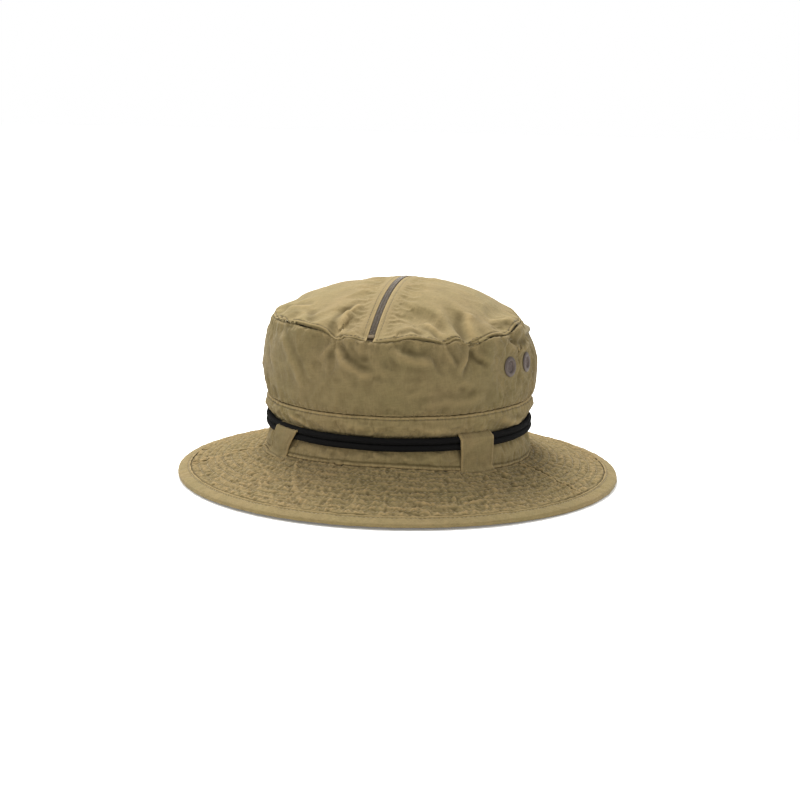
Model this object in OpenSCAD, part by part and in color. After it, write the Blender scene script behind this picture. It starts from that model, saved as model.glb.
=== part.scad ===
// Cotton boonie hat, size 57: zipped crown pocket, screened vents, four loops
// and a doubled cord closed at the back by a sprung cord lock.
// Millimetres. +Z up, -Y is the wearer's front and +X the wearer's left. The
// origin is under the crown's centre, on the surface that the brim rests on.

/* [Crown] */
// Half width of the crown at its side seam
crown_half_w = 90; // [80:1:100]
// How much longer than wide the crown is, each side of the centre
crown_extra_l = 7; // [3:1:10]
// Height of the crown's highest point above the table
hat_h = 137; // [135:0.5:139]
// Radius of the domed crown top
dome_r = 159; // [157:1:161]
// Height of the seam between crown side and lower band
band_top = 58.5; // [57.5:0.5:60]
// Thickness of one fabric layer
cloth = 1.0; // [0.9:0.05:1.1]

/* [Brim] */
// Width of the brim out from the crown seam
brim_w = 62; // [54:1:70]
// Height of the crown-to-brim seam above the table
brim_rise = 20.5; // [18:0.5:22]
// Height of the brim's upper face at its edge
brim_edge = 3.6; // [3.4:0.1:4.2]
// Width of the folded edge binding
bind_w = 7.5; // [6:0.5:9]

/* [Zip] */
// Half width of the slot that the zip shows in
zip_slot = 2.1; // [1.9:0.1:2.5]
// Angle from the top of the dome to the slider, at rest
slider_at = 32.4; // [30:0.2:32.4]
// Length of the pull tab
pull_len = 20; // [14:1:22]

/* [Cord] */
// Diameter of the cord
cord_d = 4.4; // [4:0.1:4.4]
// Height of the gap between the cord's two turns
cord_z = 38.3; // [38:0.1:38.8]
// Width of a cord loop
loop_w = 27; // [20:1:30]
// Angle of a loop from the front or back centre
loop_at = 48; // [40:0.5:55]
// Travel of the cord lock's button
lock_travel = 3.2; // [2.5:0.1:3.2]

/* [Vents] */
// Height of the vents
vent_z = 85.5; // [85:0.5:89]
// Outer diameter of a vent eyelet
vent_d = 13.5; // [12:0.5:14]
// Angles of the vents from the hat's sides, towards the front on its left and the back on its right
vent_angles = [11, 24.5];

/* [Hidden] */
$fn = 96;

khaki = [0.62, 0.54, 0.38];
khaki_dark = [0.52, 0.45, 0.31];
black_cord = [0.05, 0.05, 0.06];
gunmetal = [0.33, 0.29, 0.28];
zip_brown = [0.36, 0.31, 0.26];

// The crown's plan is a four-centred oval: two end arcs and two side arcs that
// meet where their normals stand at 45 degrees. Every band of cloth is a
// section swept round that oval, so all bands keep the same spacing.
oval_c = crown_extra_l / (2 - sqrt(2));
end_r = crown_half_w + crown_extra_l - oval_c;
side_r = end_r + sqrt(2) * oval_c;
// [from, to, centre x, centre y, radius], angles are of the outward normal
oval_arcs = [for (k = [-2 : 5]) let (even = k % 2 == 0, s = (abs(k) % 4 == 0) ? 1 : -1)
  even ? [90 * k - 45, 90 * k + 45, -s * oval_c, 0, side_r]
       : let (f = (k == 1 || k == 5 || k == -3) ? 1 : -1)
         [90 * k - 45, 90 * k + 45, 0, f * oval_c, end_r]];

dome_z = hat_h - dome_r;
lining_r = 190;
lining_z = hat_h - 11.25 - lining_r;

// Sections: [height, how far outside the oval], from the bottom up.
wall_line = [[band_top, 0], [64, 1.9], [72, 3.0], [77, 3.0], [98, 1.28], [105, 0.5], [114, 0.3]];
band_line = [[brim_rise, 0.3], [27, -1.2], [34, -2.8], [44, -2.8], [52, -1.0], [band_top, 0]];
function wall_off(z) = lookup(z, wall_line);
function band_off(z) = lookup(z, band_line);
vent_tilt = atan((3.0 - 1.28) / (98 - 77));
// how far outside the oval the wall stands at the vents
vent_off = wall_off(vent_z);

// Height of the brim's upper face at distance d outside the oval.
function brim_z(d) = d <= 0.5 ? brim_rise
  : brim_edge + (brim_rise - brim_edge) * pow(max(0, 1 - (d - 0.5) / (brim_w - 0.5)), 1.1);
brim_steps = concat([for (i = [0 : 4]) 0.5 + (brim_w - bind_w - 0.5) * i / 4], [brim_w]);

// Draws its child, a section in (distance outside the oval, height), swept
// round the oval between two angles of the normal.
module oval_sweep(from = -45, to = 315) {
  for (s = oval_arcs) {
    a = max(from, s[0]);
    b = min(to, s[1]);
    if (b > a + 0.001)
      translate([s[2], s[3], 0]) rotate([0, 0, a])
        rotate_extrude(angle = b - a) translate([s[4], 0]) children();
  }
}

// A strip of cloth that follows a [height, offset] line.
module strip(line, in, out) {
  polygon(concat([for (p = line) [p[1] + out, p[0]]],
    [for (i = [len(line) - 1 : -1 : 0]) [line[i][1] + in, line[i][0]]]));
}

// A layer of the brim between two depths under its upper face.
module brim_layer(upper, lower, d0 = -1) {
  polygon(concat([[d0, brim_rise - upper]], [for (d = brim_steps) [d, brim_z(d) - upper]],
    [for (i = [len(brim_steps) - 1 : -1 : 0]) [brim_steps[i], brim_z(brim_steps[i]) - lower]],
    [[d0, brim_rise - lower]]));
}

// Solid under the oval, out to off, between two heights.
module oval_block(off, z0, z1) {
  translate([0, 0, z0]) linear_extrude(z1 - z0) oval_plan(off);
}
module oval_plan(off) {
  union() {
    intersection() {
      translate([-oval_c, 0]) circle(side_r + off);
      translate([oval_c, 0]) circle(side_r + off);
      square([2 * (crown_half_w + off) + 2, 2 * (oval_c + (end_r + off) * sin(45))], center = true);
    }
    for (f = [-1, 1]) intersection() {
      translate([0, f * oval_c]) circle(end_r + off);
      translate([0, f * (oval_c + (end_r + off) * sin(45) + 60)])
        square([2 * (end_r + off) * cos(45), 120.04], center = true);
    }
  }
}

// A ball round the dome's centre.
module dome_ball(r) { translate([0, 0, dome_z]) sphere(r = r); }

// Draws its child, a section in (radius, distance to the hat's left), swept
// over the dome along the zip. Angles run from the top towards the back.
module zip_sweep(a0, a1) {
  translate([0, 0, dome_z]) rotate([0, 90, 0]) rotate([0, 0, 180 - a1])
    rotate_extrude(angle = a1 - a0) children();
}
// A rectangle from radius r0 to r1 and across from h0 to h1.
module bar(r0, r1, h0, h1) { translate([r0, h0]) square([r1 - r0, h1 - h0]); }

// ---- crown ----
module crown_tip(side) {
  color(khaki) intersection() {
    difference() {
      dome_ball(dome_r);
      dome_ball(dome_r - cloth);
    }
    tip_block(side);
  }
}
// The half of the crown's plan on one side of the zip's slot.
module tip_block(side) {
  intersection() {
    oval_block(0.35, 60, 150);
    translate([side > 0 ? zip_slot : -zip_slot - 120, -120, 60]) cube([120, 240, 90]);
  }
}

module crown_side_wall() {
  color(khaki) difference() {
    intersection() {
      oval_sweep() strip(wall_line, -cloth, 0);
      dome_ball(dome_r - cloth - 0.03);
    }
    vent_places() translate([0, 0, -6]) cylinder(r = vent_d / 2 - 2.75, h = 12);
  }
}

module crown_lower_band() { color(khaki) oval_sweep() strip(band_line, -cloth, 0); }

module crown_seam_tape() {
  color(khaki_dark) oval_sweep()
    strip([[53.5, band_off(53.5)], [band_top, 0], [63.5, wall_off(63.5)]], -cloth - 0.75, -cloth - 0.03);
}

module pocket_lining() {
  color(khaki_dark) intersection() {
    difference() {
      translate([0, 0, lining_z]) sphere(r = lining_r);
      translate([0, 0, lining_z]) sphere(r = lining_r - 0.8);
    }
    oval_block(-0.75, 60, 150);
  }
}

module sweatband() {
  color(khaki_dark) oval_sweep()
    strip([for (z = [brim_rise + 0.5, 27, 34, 44, 50]) [z, band_off(z)]], -cloth - 1.33, -cloth - 0.03);
}

// ---- brim ----
module brim_top(side) { color(khaki) brim_half(side) oval_sweep() brim_layer(0, 0.9); }
module brim_interlining() { color(khaki_dark) oval_sweep() brim_layer(0.95, 1.95); }
module brim_under(side) { color(khaki) brim_half(side) oval_sweep() brim_layer(2.0, 2.9); }
// The front (-1) or back (1) part of its child, cut at the side seams, which
// stand brim_seam degrees forward of the sides.
brim_seam = 17;
module brim_half(side) {
  y0 = -oval_c * tan(brim_seam) + side * 0.02;
  far = 260;
  intersection() {
    children();
    translate([0, 0, -10]) linear_extrude(60) polygon([[0, y0], [far, y0 - far * tan(brim_seam)],
      [far, side * far], [-far, side * far], [-far, y0 - far * tan(brim_seam)]]);
  }
}

module brim_binding() {
  d = brim_w - bind_w;
  e = brim_w;
  color(khaki) oval_sweep() polygon([
    [d, brim_z(d) + 0.03], [d, brim_z(d) + 0.5], [d + 0.6, brim_z(d) + 0.65],
    [e, brim_z(e) + 0.62], [e + 0.55, brim_z(e) + 0.1],
    [e + 0.7, brim_z(e) - 0.8], [e + 0.7, 0.7], [e + 0.2, 0], [e - 2.5, 0],
    [d, brim_z(d) - 3.5], [d, brim_z(d) - 2.95],
    [e + 0.04, brim_z(e) - 2.95], [e + 0.04, brim_z(e) + 0.03]]);
}

// ---- loops ----
// A strip of folded cloth, sewn at its top and bottom, arched over the cords.
module cord_loop(at) {
  out = cord_off + cord_r + 0.1;
  arc = oval_arcs[round(at / 90) + 2];
  color(khaki) intersection() {
    oval_sweep() polygon([
      [band_off(49.5) + 0.05, 49.5], [band_off(49.5) + 1.3, 49.5], [band_off(48) + 1.4, 48],
      [1.0, 46], [out + 0.7, 43.6], [out + 1.25, 40.6], [out + 1.3, 36], [out + 1.15, 32], [2.6, 27.5],
      [2.05, 24], [2.1, brim_rise + 1.3], [4.4, brim_z(4.4) + 1.15], [4.4, brim_z(4.4) + 0.05],
      [0.9, brim_rise + 0.06], [0.75, 24], [1.35, 27.5], [out - 0.1, 32], [out, 36],
      [out - 0.05, 40.4], [out - 0.6, 42.8], [-0.3, 45.2], [band_off(46.6) + 0.05, 46.6]]);
    translate([arc[2], arc[3], brim_rise - 5]) rotate([0, 0, at]) translate([70, -loop_w / 2, 0]) cube([60, loop_w, 60]);
  }
}

// ---- cord ----
cord_r = cord_d / 2;
// half the distance between the two turns' centres
cord_step = cord_r + 0.04;
cord_off = -2.8 + cord_r + 0.6;
// Where the cord turns away from the crown to enter the lock, and how sharply
turn_r = 8;
turn_at = asin(turn_r / (end_r + cord_off));
turn_y = oval_c + (end_r + cord_off) * cos(turn_at) + turn_r;
// half the angle in which the cord steps from its upper to its lower turn
step_at = 3.4;
cord_rings = 30;
lock_r = 8.6;
lock_y = crown_half_w + crown_extra_l + 6.2 + lock_r;
function smooth(t) = t * t * (3 - 2 * t);
function cord_point(a, z) = let (m = (a % 360 + 360) % 360, s = oval_arcs[round(m / 90) % 4 + 2])
  [s[2] + (s[4] + cord_off) * cos(m), s[3] + (s[4] + cord_off) * sin(m), z];
function cord_turn(up) = [for (b = [0 : 22.5 : 67.5])
  [up * turn_r * (1 - cos(b)), turn_y - turn_r * sin(b), cord_z + up * cord_step]];
cord_route = concat(
  [[0, lock_y, cord_z + cord_step], [0, lock_y - 4, cord_z + cord_step]], cord_turn(1),
  [for (i = [0 : cord_rings]) cord_point(90 - turn_at - (360 - turn_at - step_at) * i / cord_rings, cord_z + cord_step)],
  [for (t = [0.25, 0.5, 0.75]) cord_point(90 + step_at - 2 * step_at * t, cord_z + cord_step * (1 - 2 * smooth(t)))],
  [for (i = [0 : cord_rings]) cord_point(90 - step_at - (360 - turn_at - step_at) * i / cord_rings, cord_z - cord_step)],
  [for (p = [3 : -1 : 0]) cord_turn(-1)[p]],
  [[0, lock_y - 4, cord_z - cord_step], [0, lock_y, cord_z - cord_step]]);
module hat_cord() { color(black_cord) tube(cord_route, cord_r, 8, [0, 0, 1]); }

// A frame at the lock: its own +Z, the way the button stands out, is world +X.
module at_lock() { translate([0, lock_y, cord_z]) rotate([0, 90, 0]) children(); }
module cord_lock_barrel() {
  color(black_cord) at_lock() difference() {
    union() {
      translate([0, 0, -15.4]) cylinder(r1 = lock_r - 1, r2 = lock_r, h = 1.2);
      translate([0, 0, -14.2]) cylinder(r = lock_r, h = 21);
      translate([0, 0, 6.8]) cylinder(r1 = lock_r, r2 = lock_r - 0.6, h = 0.7);
    }
    translate([0, 0, -14]) cylinder(r = lock_r - 1.9, h = 22);
    lock_tunnel(2 * (cord_step + cord_r) + 0.8, cord_d + 0.8);
  }
}
// A round-ended slot through the lock, from the crown side out.
module lock_tunnel(w, h) {
  for (x = [-1, 1]) translate([x * (w - h) / 2, -12, 0]) rotate([-90, 0, 0]) cylinder(r = h / 2, h = 24);
  translate([-(w - h) / 2, -12, -h / 2]) cube([w - h, 24, h]);
}
module cord_lock_plunger() {
  w = cord_step + cord_r + 0.35;
  color(black_cord) at_lock() difference() {
    union() {
      translate([0, 0, -7.4]) cylinder(r = lock_r - 1.98, h = 18.3);
      translate([0, 0, 7.5 + lock_travel + 0.2]) cylinder(r = lock_r - 1.4, h = 1.9);
      translate([0, 0, 9.4 + lock_travel + 0.2]) cylinder(r1 = lock_r - 1.4, r2 = lock_r - 2.4, h = 0.9);
    }
    // long enough to clear the cords all through the button's travel
    translate([-w, -12, -cord_r - 0.15]) cube([2 * w, 24, cord_d + 0.3 + lock_travel]);
  }
}

// A wire or tube of n sides along a list of points.
function unit(v) = v / norm(v);
function heading(p, i) = unit(p[min(i + 1, len(p) - 1)] - p[max(i - 1, 0)]);
function ring_at(p, i, r, n, up) = let (t = heading(p, i), u = unit(cross(t, up)), v = cross(u, t))
  [for (k = [0 : n - 1]) p[i] + r * (cos(360 * k / n) * u + sin(360 * k / n) * v)];
module tube(p, r, n, up) {
  pts = [for (i = [0 : len(p) - 1]) each ring_at(p, i, r, n, up)];
  m = len(p);
  polyhedron(pts, concat([[for (k = [0 : n - 1]) k]],
    [for (i = [0 : m - 2], k = [0 : n - 1]) each [
      [i * n + k, (i + 1) * n + k, (i + 1) * n + (k + 1) % n],
      [i * n + k, (i + 1) * n + (k + 1) % n, i * n + (k + 1) % n]]],
    [[for (k = [n - 1 : -1 : 0]) (m - 1) * n + k]]));
}

module cord_lock_spring() {
  turns = 4;
  wire = 0.35;
  z0 = -14 + wire + 0.02;
  z1 = -7.4 - wire - 0.02;
  color("silver") at_lock() tube([for (i = [0 : turns * 14]) let (a = 360 * i / 14)
    [5.3 * cos(a), 5.3 * sin(a), z0 + (z1 - z0) * i / (turns * 14)]], wire, 6, [0, 0, 1]);
}

// The cord's ends: out of the lock, down to the brim and along it. The left
// one comes from the upper turn and the right one from the lower turn.
// the routes are drawn for lock_y = 111.8 and move with the lock
tail_move = [0, lock_y - 111.8, 0];
left_route = [for (p = [[0, 120.2, 40.5], [0.5, 124, 40.1], [1.9, 128, 38.4], [3.9, 131.4, 35.0],
  [5.9, 133.8, 30.6], [7.5, 135.5, 25.8], [8.9, 136.9, 20.8], [10.6, 138.4, 16.2], [12.9, 140.3, 12.6],
  [15.9, 142.2, 10.4], [19.4, 143.7, 9.5]]) p + tail_move];
right_route = [for (p = [[0, 120.2, 36.0], [-0.6, 124, 35.4], [-2.1, 127.6, 33.4], [-4.1, 130.7, 29.8],
  [-5.9, 133, 25.4], [-7.7, 135, 20.8], [-9.8, 137.1, 16.6], [-12.4, 139.3, 13.0],
  [-15.8, 141.3, 10.7], [-19.6, 142.8, 9.8]]) p + tail_move];
left_knot = [22.6, 144.6, 11.1] + tail_move;
right_knot = [-22.8, 143.6, 11.3] + tail_move;
module cord_tail(route, z) {
  color(black_cord) tube(concat([[0, lock_y, z], [0, lock_y + 4.2, z]], route), cord_r, 8, [1, 0, 0]);
}
module cord_knot(at) { color(black_cord) translate(at) sphere(r = 4.2); }

// ---- vents ----
// Places its child at each vent, with +Z along the wall's outward normal and
// z = 0 on the wall's outer face.
module vent_places() {
  for (side = [0, 180], a = vent_angles)
    translate([side == 0 ? -oval_c : oval_c, 0, vent_z]) rotate([0, 0, side - a])
      translate([side_r + vent_off, 0, 0]) rotate([0, 90 - vent_tilt, 0]) children();
}
vent_r = vent_d / 2;
hole_r = vent_r - 2.75;
// how far the flat washer stands off the curved wall's inner face
sag = 0.32;
module vent_eyelets() {
  color(gunmetal) vent_places() difference() {
    union() {
      translate([0, 0, 0.02]) cylinder(r = vent_r, h = 0.4);
      translate([0, 0, 0.42]) cylinder(r1 = vent_r, r2 = vent_r - 1.0, h = 0.55);
      translate([0, 0, -cloth - sag - 0.9]) cylinder(r = hole_r - 0.05, h = cloth + sag + 1.0);
      translate([0, 0, -cloth - sag - 1.2]) cylinder(r = hole_r + 0.75, h = 0.4);
    }
    translate([0, 0, -5]) cylinder(r = hole_r - 0.65, h = 10);
    translate([0, 0, 0.2]) cylinder(r1 = hole_r - 0.65, r2 = hole_r + 0.5, h = 0.9);
  }
}
module vent_washers() {
  color(gunmetal) vent_places() translate([0, 0, -cloth - sag - 0.75]) difference() {
    cylinder(r = vent_r - 0.4, h = 0.6);
    translate([0, 0, -1]) cylinder(r = hole_r, h = 3);
  }
}
module vent_screens() {
  color([0.2, 0.18, 0.18]) vent_places() translate([0, 0, -0.35]) cylinder(r = hole_r - 0.68, h = 0.3);
}

// ---- zip ----
tape_r0 = dome_r - 2.15;
tape_r1 = dome_r - 1.62;
module zip_tape(side) {
  color(zip_brown) zip_sweep(-37.1, 37.1)
    bar(tape_r0, tape_r1, side > 0 ? 0.45 : -12, side > 0 ? 12 : -0.45);
}
module zip_coil(side) {
  color(zip_brown) zip_sweep(-34.6, 34.6) polygon([for (p = [[dome_r - 1.6, 0.6], [dome_r - 1.6, 1.9],
    [dome_r - 1.2, 2.05], [dome_r - 0.4, 2.05], [dome_r + 0.05, 1.7], [dome_r + 0.05, 0.75],
    [dome_r - 0.3, 0.42], [dome_r - 1.3, 0.42]]) [p[0], side * p[1]]]);
}
module zip_stop(a) {
  color(gunmetal) zip_sweep(a - 0.5, a + 0.5) bar(dome_r - 1.6, dome_r + 0.45, -2.05, 2.05);
}
pin_r = dome_r + 3.6;
pin_at = [0, pin_r * sin(slider_at), dome_z + pin_r * cos(slider_at)];
module zip_slider() {
  color(gunmetal) union() {
    difference() {
      zip_sweep(slider_at - 1.9, slider_at + 1.9) bar(dome_r + 0.2, dome_r + 1.6, -3.4, 3.4);
      // waisted sides
      for (s = [-1, 1]) slider_frame() translate([s * 8.3, 2.5, -3]) cylinder(r = 5.6, h = 3);
    }
    zip_sweep(slider_at - 1.8, slider_at + 1.8) bar(dome_r - 3.7, dome_r - 2.4, -3.2, 3.2);
    zip_sweep(slider_at - 0.8, slider_at + 0.8) bar(dome_r - 2.5, dome_r + 0.3, -0.35, 0.35);
    for (s = [-1, 1]) slider_frame() {
      translate([s > 0 ? 1.5 : -2.4, -1.6, -2.4]) cube([0.9, 3.2, 2.4]);
      translate([s > 0 ? 1.5 : -2.4, 0, 0]) rotate([0, 90, 0]) cylinder(r = 1.6, h = 0.9);
    }
    slider_frame() translate([-1.7, 0, 0]) rotate([0, 90, 0]) cylinder(r = 0.7, h = 3.4);
  }
}
// A frame at the pull's pin: +Y down the zip to the back, +Z out of the dome.
module slider_frame() { translate(pin_at) rotate([-slider_at, 0, 0]) children(); }
module zip_pull() {
  color(gunmetal) slider_frame() rotate([-10, 0, 0]) difference() {
    union() {
      translate([-1.4, 0, 0]) rotate([0, 90, 0]) cylinder(r = 1.5, h = 2.8);
      translate([-1.4, 0.4, -0.55]) cube([2.8, 3.2, 1.1]);
      translate([-1.9, 3.2, -0.55]) cube([3.8, pull_len - 5.8, 1.1]);
      translate([0, pull_len - 2.6, -0.55]) cylinder(r = 2.6, h = 1.1);
      translate([-2.6, pull_len - 7, -0.55]) cube([5.2, 4.4, 1.1]);
    }
    translate([-3, 0, 0]) rotate([0, 90, 0]) cylinder(r = 0.78, h = 6);
    translate([0, pull_len - 3.4, -2]) cylinder(r = 1.3, h = 4);
  }
}

crown_tip(1);  // crown_tip_left
crown_tip(-1);  // crown_tip_right
crown_side_wall();
crown_lower_band();
crown_seam_tape();
pocket_lining();
sweatband();
brim_top(-1);  // brim_top_front
brim_top(1);  // brim_top_back
brim_interlining();
brim_under(-1);  // brim_under_front
brim_under(1);  // brim_under_back
brim_binding();
cord_loop(270 + loop_at);  // loop_front_left
cord_loop(270 - loop_at);  // loop_front_right
cord_loop(90 - loop_at);  // loop_rear_left
cord_loop(90 + loop_at);  // loop_rear_right
hat_cord();
cord_lock_barrel();
cord_lock_plunger();
cord_lock_spring();
cord_tail(left_route, cord_z + cord_step);  // cord_tail_left
cord_tail(right_route, cord_z - cord_step);  // cord_tail_right
cord_knot(left_knot);  // cord_knot_left
cord_knot(right_knot);  // cord_knot_right
vent_eyelets();
vent_washers();
vent_screens();
zip_tape(1);  // zip_tape_left
zip_tape(-1);  // zip_tape_right
zip_coil(1);  // zip_coil_left
zip_coil(-1);  // zip_coil_right
zip_stop(-35.25);  // zip_front_stop
zip_stop(35.25);  // zip_back_stop
zip_slider();
zip_pull();
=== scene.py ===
import math
import bpy
import numpy as np
from mathutils import Vector, Matrix


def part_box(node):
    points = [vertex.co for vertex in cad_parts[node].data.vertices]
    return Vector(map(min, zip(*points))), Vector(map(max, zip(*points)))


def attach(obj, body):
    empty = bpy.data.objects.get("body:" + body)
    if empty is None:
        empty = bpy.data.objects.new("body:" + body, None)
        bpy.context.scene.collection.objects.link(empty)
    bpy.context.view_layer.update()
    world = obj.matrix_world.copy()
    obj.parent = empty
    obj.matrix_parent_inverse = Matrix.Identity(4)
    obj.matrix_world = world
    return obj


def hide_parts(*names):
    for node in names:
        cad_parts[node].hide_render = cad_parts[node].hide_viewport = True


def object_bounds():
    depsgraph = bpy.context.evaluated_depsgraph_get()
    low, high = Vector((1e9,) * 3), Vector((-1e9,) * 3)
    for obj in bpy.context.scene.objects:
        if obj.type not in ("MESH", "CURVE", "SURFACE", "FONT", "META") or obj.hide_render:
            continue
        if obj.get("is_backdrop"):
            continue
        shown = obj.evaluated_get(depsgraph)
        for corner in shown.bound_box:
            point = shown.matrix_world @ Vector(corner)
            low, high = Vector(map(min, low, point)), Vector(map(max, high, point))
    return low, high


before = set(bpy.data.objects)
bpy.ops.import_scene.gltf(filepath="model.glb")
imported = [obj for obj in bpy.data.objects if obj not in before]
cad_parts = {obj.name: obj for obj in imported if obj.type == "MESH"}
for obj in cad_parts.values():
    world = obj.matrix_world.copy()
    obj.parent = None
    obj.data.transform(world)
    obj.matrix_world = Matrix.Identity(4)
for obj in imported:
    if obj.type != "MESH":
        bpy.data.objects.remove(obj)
cad_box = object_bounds()
SCENE = bpy.context.scene

# ------------------------------------------------------------------ geometry
# Lengths are millimetres here and become metres in make_mesh().
HALF_W, EXTRA_L = 90.0, 7.0
OC = EXTRA_L / (2 - math.sqrt(2))
END_R = HALF_W + EXTRA_L - OC
SIDE_R = END_R + math.sqrt(2) * OC
SEAM_LOW, BRIM_RISE, BRIM_EDGE, BRIM_W = 58.5, 20.5, 3.6, 62.0
HAT_H, DOME_R = 137.0, 159.0
DOME_Z = HAT_H - DOME_R
CORD_R, CORD_Z = 2.2, 38.3
CORD_STEP = CORD_R + 0.04


def oval(a, d):
    """x, y at normal angle a (degrees) and distance d outside the crown's plan."""
    a, d = np.broadcast_arrays(np.asarray(a, float), np.asarray(d, float))
    k = np.round(a / 90).astype(int) % 4
    cx = np.where(k == 0, -OC, np.where(k == 2, OC, 0.0))
    cy = np.where(k == 1, OC, np.where(k == 3, -OC, 0.0))
    r = np.where(k % 2 == 0, SIDE_R, END_R) + d
    t = np.radians(a)
    return cx + r * np.cos(t), cy + r * np.sin(t)


def oval_r(a):
    k = np.round(np.asarray(a, float) / 90).astype(int) % 4
    return np.where(k % 2 == 0, SIDE_R, END_R)


def on_oval(a, d, z):
    x, y = oval(a, d)
    return np.stack([x, y, np.broadcast_to(z, x.shape)], -1)


def to_oval(x, y):
    """Normal angle and distance outside the plan of the point x, y."""
    best_a = best_d = None
    for k, (cx, cy, r) in enumerate([(-OC, 0, SIDE_R), (0, OC, END_R), (OC, 0, SIDE_R), (0, -OC, END_R)]):
        a = np.degrees(np.arctan2(y - cy, x - cx))
        off = np.abs((a - 90 * k + 180) % 360 - 180)
        d = np.hypot(x - cx, y - cy) - r
        if best_a is None:
            best_a, best_d, best_off = a, d, off
        else:
            w = off < best_off
            best_a, best_d, best_off = np.where(w, a, best_a), np.where(w, d, best_d), np.where(w, off, best_off)
    return best_a % 360, best_d


def smooth(t):
    t = np.clip(t, 0, 1)
    return t * t * (3 - 2 * t)


def ramp(x, x0, x1):
    return smooth((np.asarray(x, float) - x0) / (x1 - x0))


def adiff(a, b):
    return (np.asarray(a, float) - b + 180) % 360 - 180


class Noise:
    """Gradient noise in three dimensions, from -1 to 1."""

    def __init__(self, seed):
        r = np.random.default_rng(seed)
        self.p = np.concatenate([r.permutation(256)] * 3)
        g = r.normal(size=(256, 3))
        self.g = g / np.linalg.norm(g, axis=1)[:, None]

    def __call__(self, x, y, z=0.0):
        x, y, z = np.broadcast_arrays(np.asarray(x, float), np.asarray(y, float), np.asarray(z, float))
        xi, yi, zi = (np.floor(v).astype(np.int64) for v in (x, y, z))
        fx, fy, fz = x - xi, y - yi, z - zi
        u, v, w = (f * f * f * (f * (f * 6 - 15) + 10) for f in (fx, fy, fz))
        out = 0.0
        for i in (0, 1):
            for j in (0, 1):
                for k in (0, 1):
                    h = self.p[self.p[self.p[(xi + i) & 255] + ((yi + j) & 255)] + ((zi + k) & 255)]
                    g = self.g[h]
                    d = g[..., 0] * (fx - i) + g[..., 1] * (fy - j) + g[..., 2] * (fz - k)
                    out = out + d * (u if i else 1 - u) * (v if j else 1 - v) * (w if k else 1 - w)
        return out * 1.6


N1, N2, N3, N4, N5 = (Noise(s) for s in (11, 23, 37, 41, 59))


def ring(a, scale, extra, noise, z=0.0):
    """Noise that closes on itself round the hat: wavelength about scale mm along the crown's seam."""
    t = np.radians(a)
    r = 95.0 / scale
    return noise(r * np.cos(t) + 50, r * np.sin(t) + 50, extra + z)


def curve_of(points):
    """A closed smooth curve through (angle, value) points, as a function of the angle."""
    pts = sorted(points)
    a = np.array([p[0] for p in pts], float)
    v = np.array([p[1] for p in pts], float)
    a = np.concatenate([a - 360, a, a + 360])
    v = np.concatenate([v, v, v])
    m = np.gradient(v, a)

    def f(x):
        x = np.asarray(x, float) % 360
        i = np.clip(np.searchsorted(a, x) - 1, 0, len(a) - 2)
        h = a[i + 1] - a[i]
        t = (x - a[i]) / h
        return ((2 * t**3 - 3 * t**2 + 1) * v[i] + (t**3 - 2 * t**2 + t) * h * m[i]
                + (-2 * t**3 + 3 * t**2) * v[i + 1] + (t**3 - t**2) * h * m[i + 1])
    return f


def make_mesh(name, verts, faces, uv=None, smooth_faces=True, attrs=None):
    """A mesh object from millimetre vertices and a list of face arrays, each of one face size."""
    me = bpy.data.meshes.new(name)
    verts = np.asarray(verts, float).reshape(-1, 3) * 0.001
    groups = [np.asarray(f, np.int64) for f in (faces if isinstance(faces, list) else [faces]) if len(f)]
    loops = np.concatenate([g.ravel() for g in groups])
    sizes = np.concatenate([np.full(len(g), g.shape[1]) for g in groups])
    me.vertices.add(len(verts))
    me.vertices.foreach_set("co", verts.astype(np.float32).ravel())
    me.loops.add(len(loops))
    me.loops.foreach_set("vertex_index", loops.astype(np.int32))
    me.polygons.add(len(sizes))
    me.polygons.foreach_set("loop_start", (np.cumsum(sizes) - sizes).astype(np.int32))
    me.polygons.foreach_set("loop_total", sizes.astype(np.int32))
    me.polygons.foreach_set("use_smooth", np.full(len(sizes), smooth_faces))
    me.update(calc_edges=True)
    me.validate()
    if uv is not None:
        layer = me.uv_layers.new(name="cloth")
        layer.data.foreach_set("uv", np.asarray(uv, np.float32).reshape(-1, 2)[loops].ravel())
    for key, values in (attrs or {}).items():
        at = me.attributes.new(key, "FLOAT", "POINT")
        at.data.foreach_set("value", np.asarray(values, np.float32).ravel())
    ob = bpy.data.objects.new(name, me)
    SCENE.collection.objects.link(ob)
    return ob


def grid_faces(rows, cols, wrap, base=0, flip=False):
    """Quads of a rows x cols grid of vertices; wrap closes it along the columns."""
    c = np.arange(cols if wrap else cols - 1)
    r = np.arange(rows - 1)
    i, j = np.meshgrid(r, c, indexing="ij")
    j2 = (j + 1) % cols
    q = np.stack([i * cols + j, i * cols + j2, (i + 1) * cols + j2, (i + 1) * cols + j], -1).reshape(-1, 4) + base
    return q[:, ::-1] if flip else q


def grid_normals(g, wrap):
    du = (np.roll(g, -1, 1) - np.roll(g, 1, 1)) if wrap else np.gradient(g, axis=1)
    dv = np.gradient(g, axis=0)
    n = np.cross(du, dv)
    return n / np.maximum(np.linalg.norm(n, axis=-1, keepdims=True), 1e-9)


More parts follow.
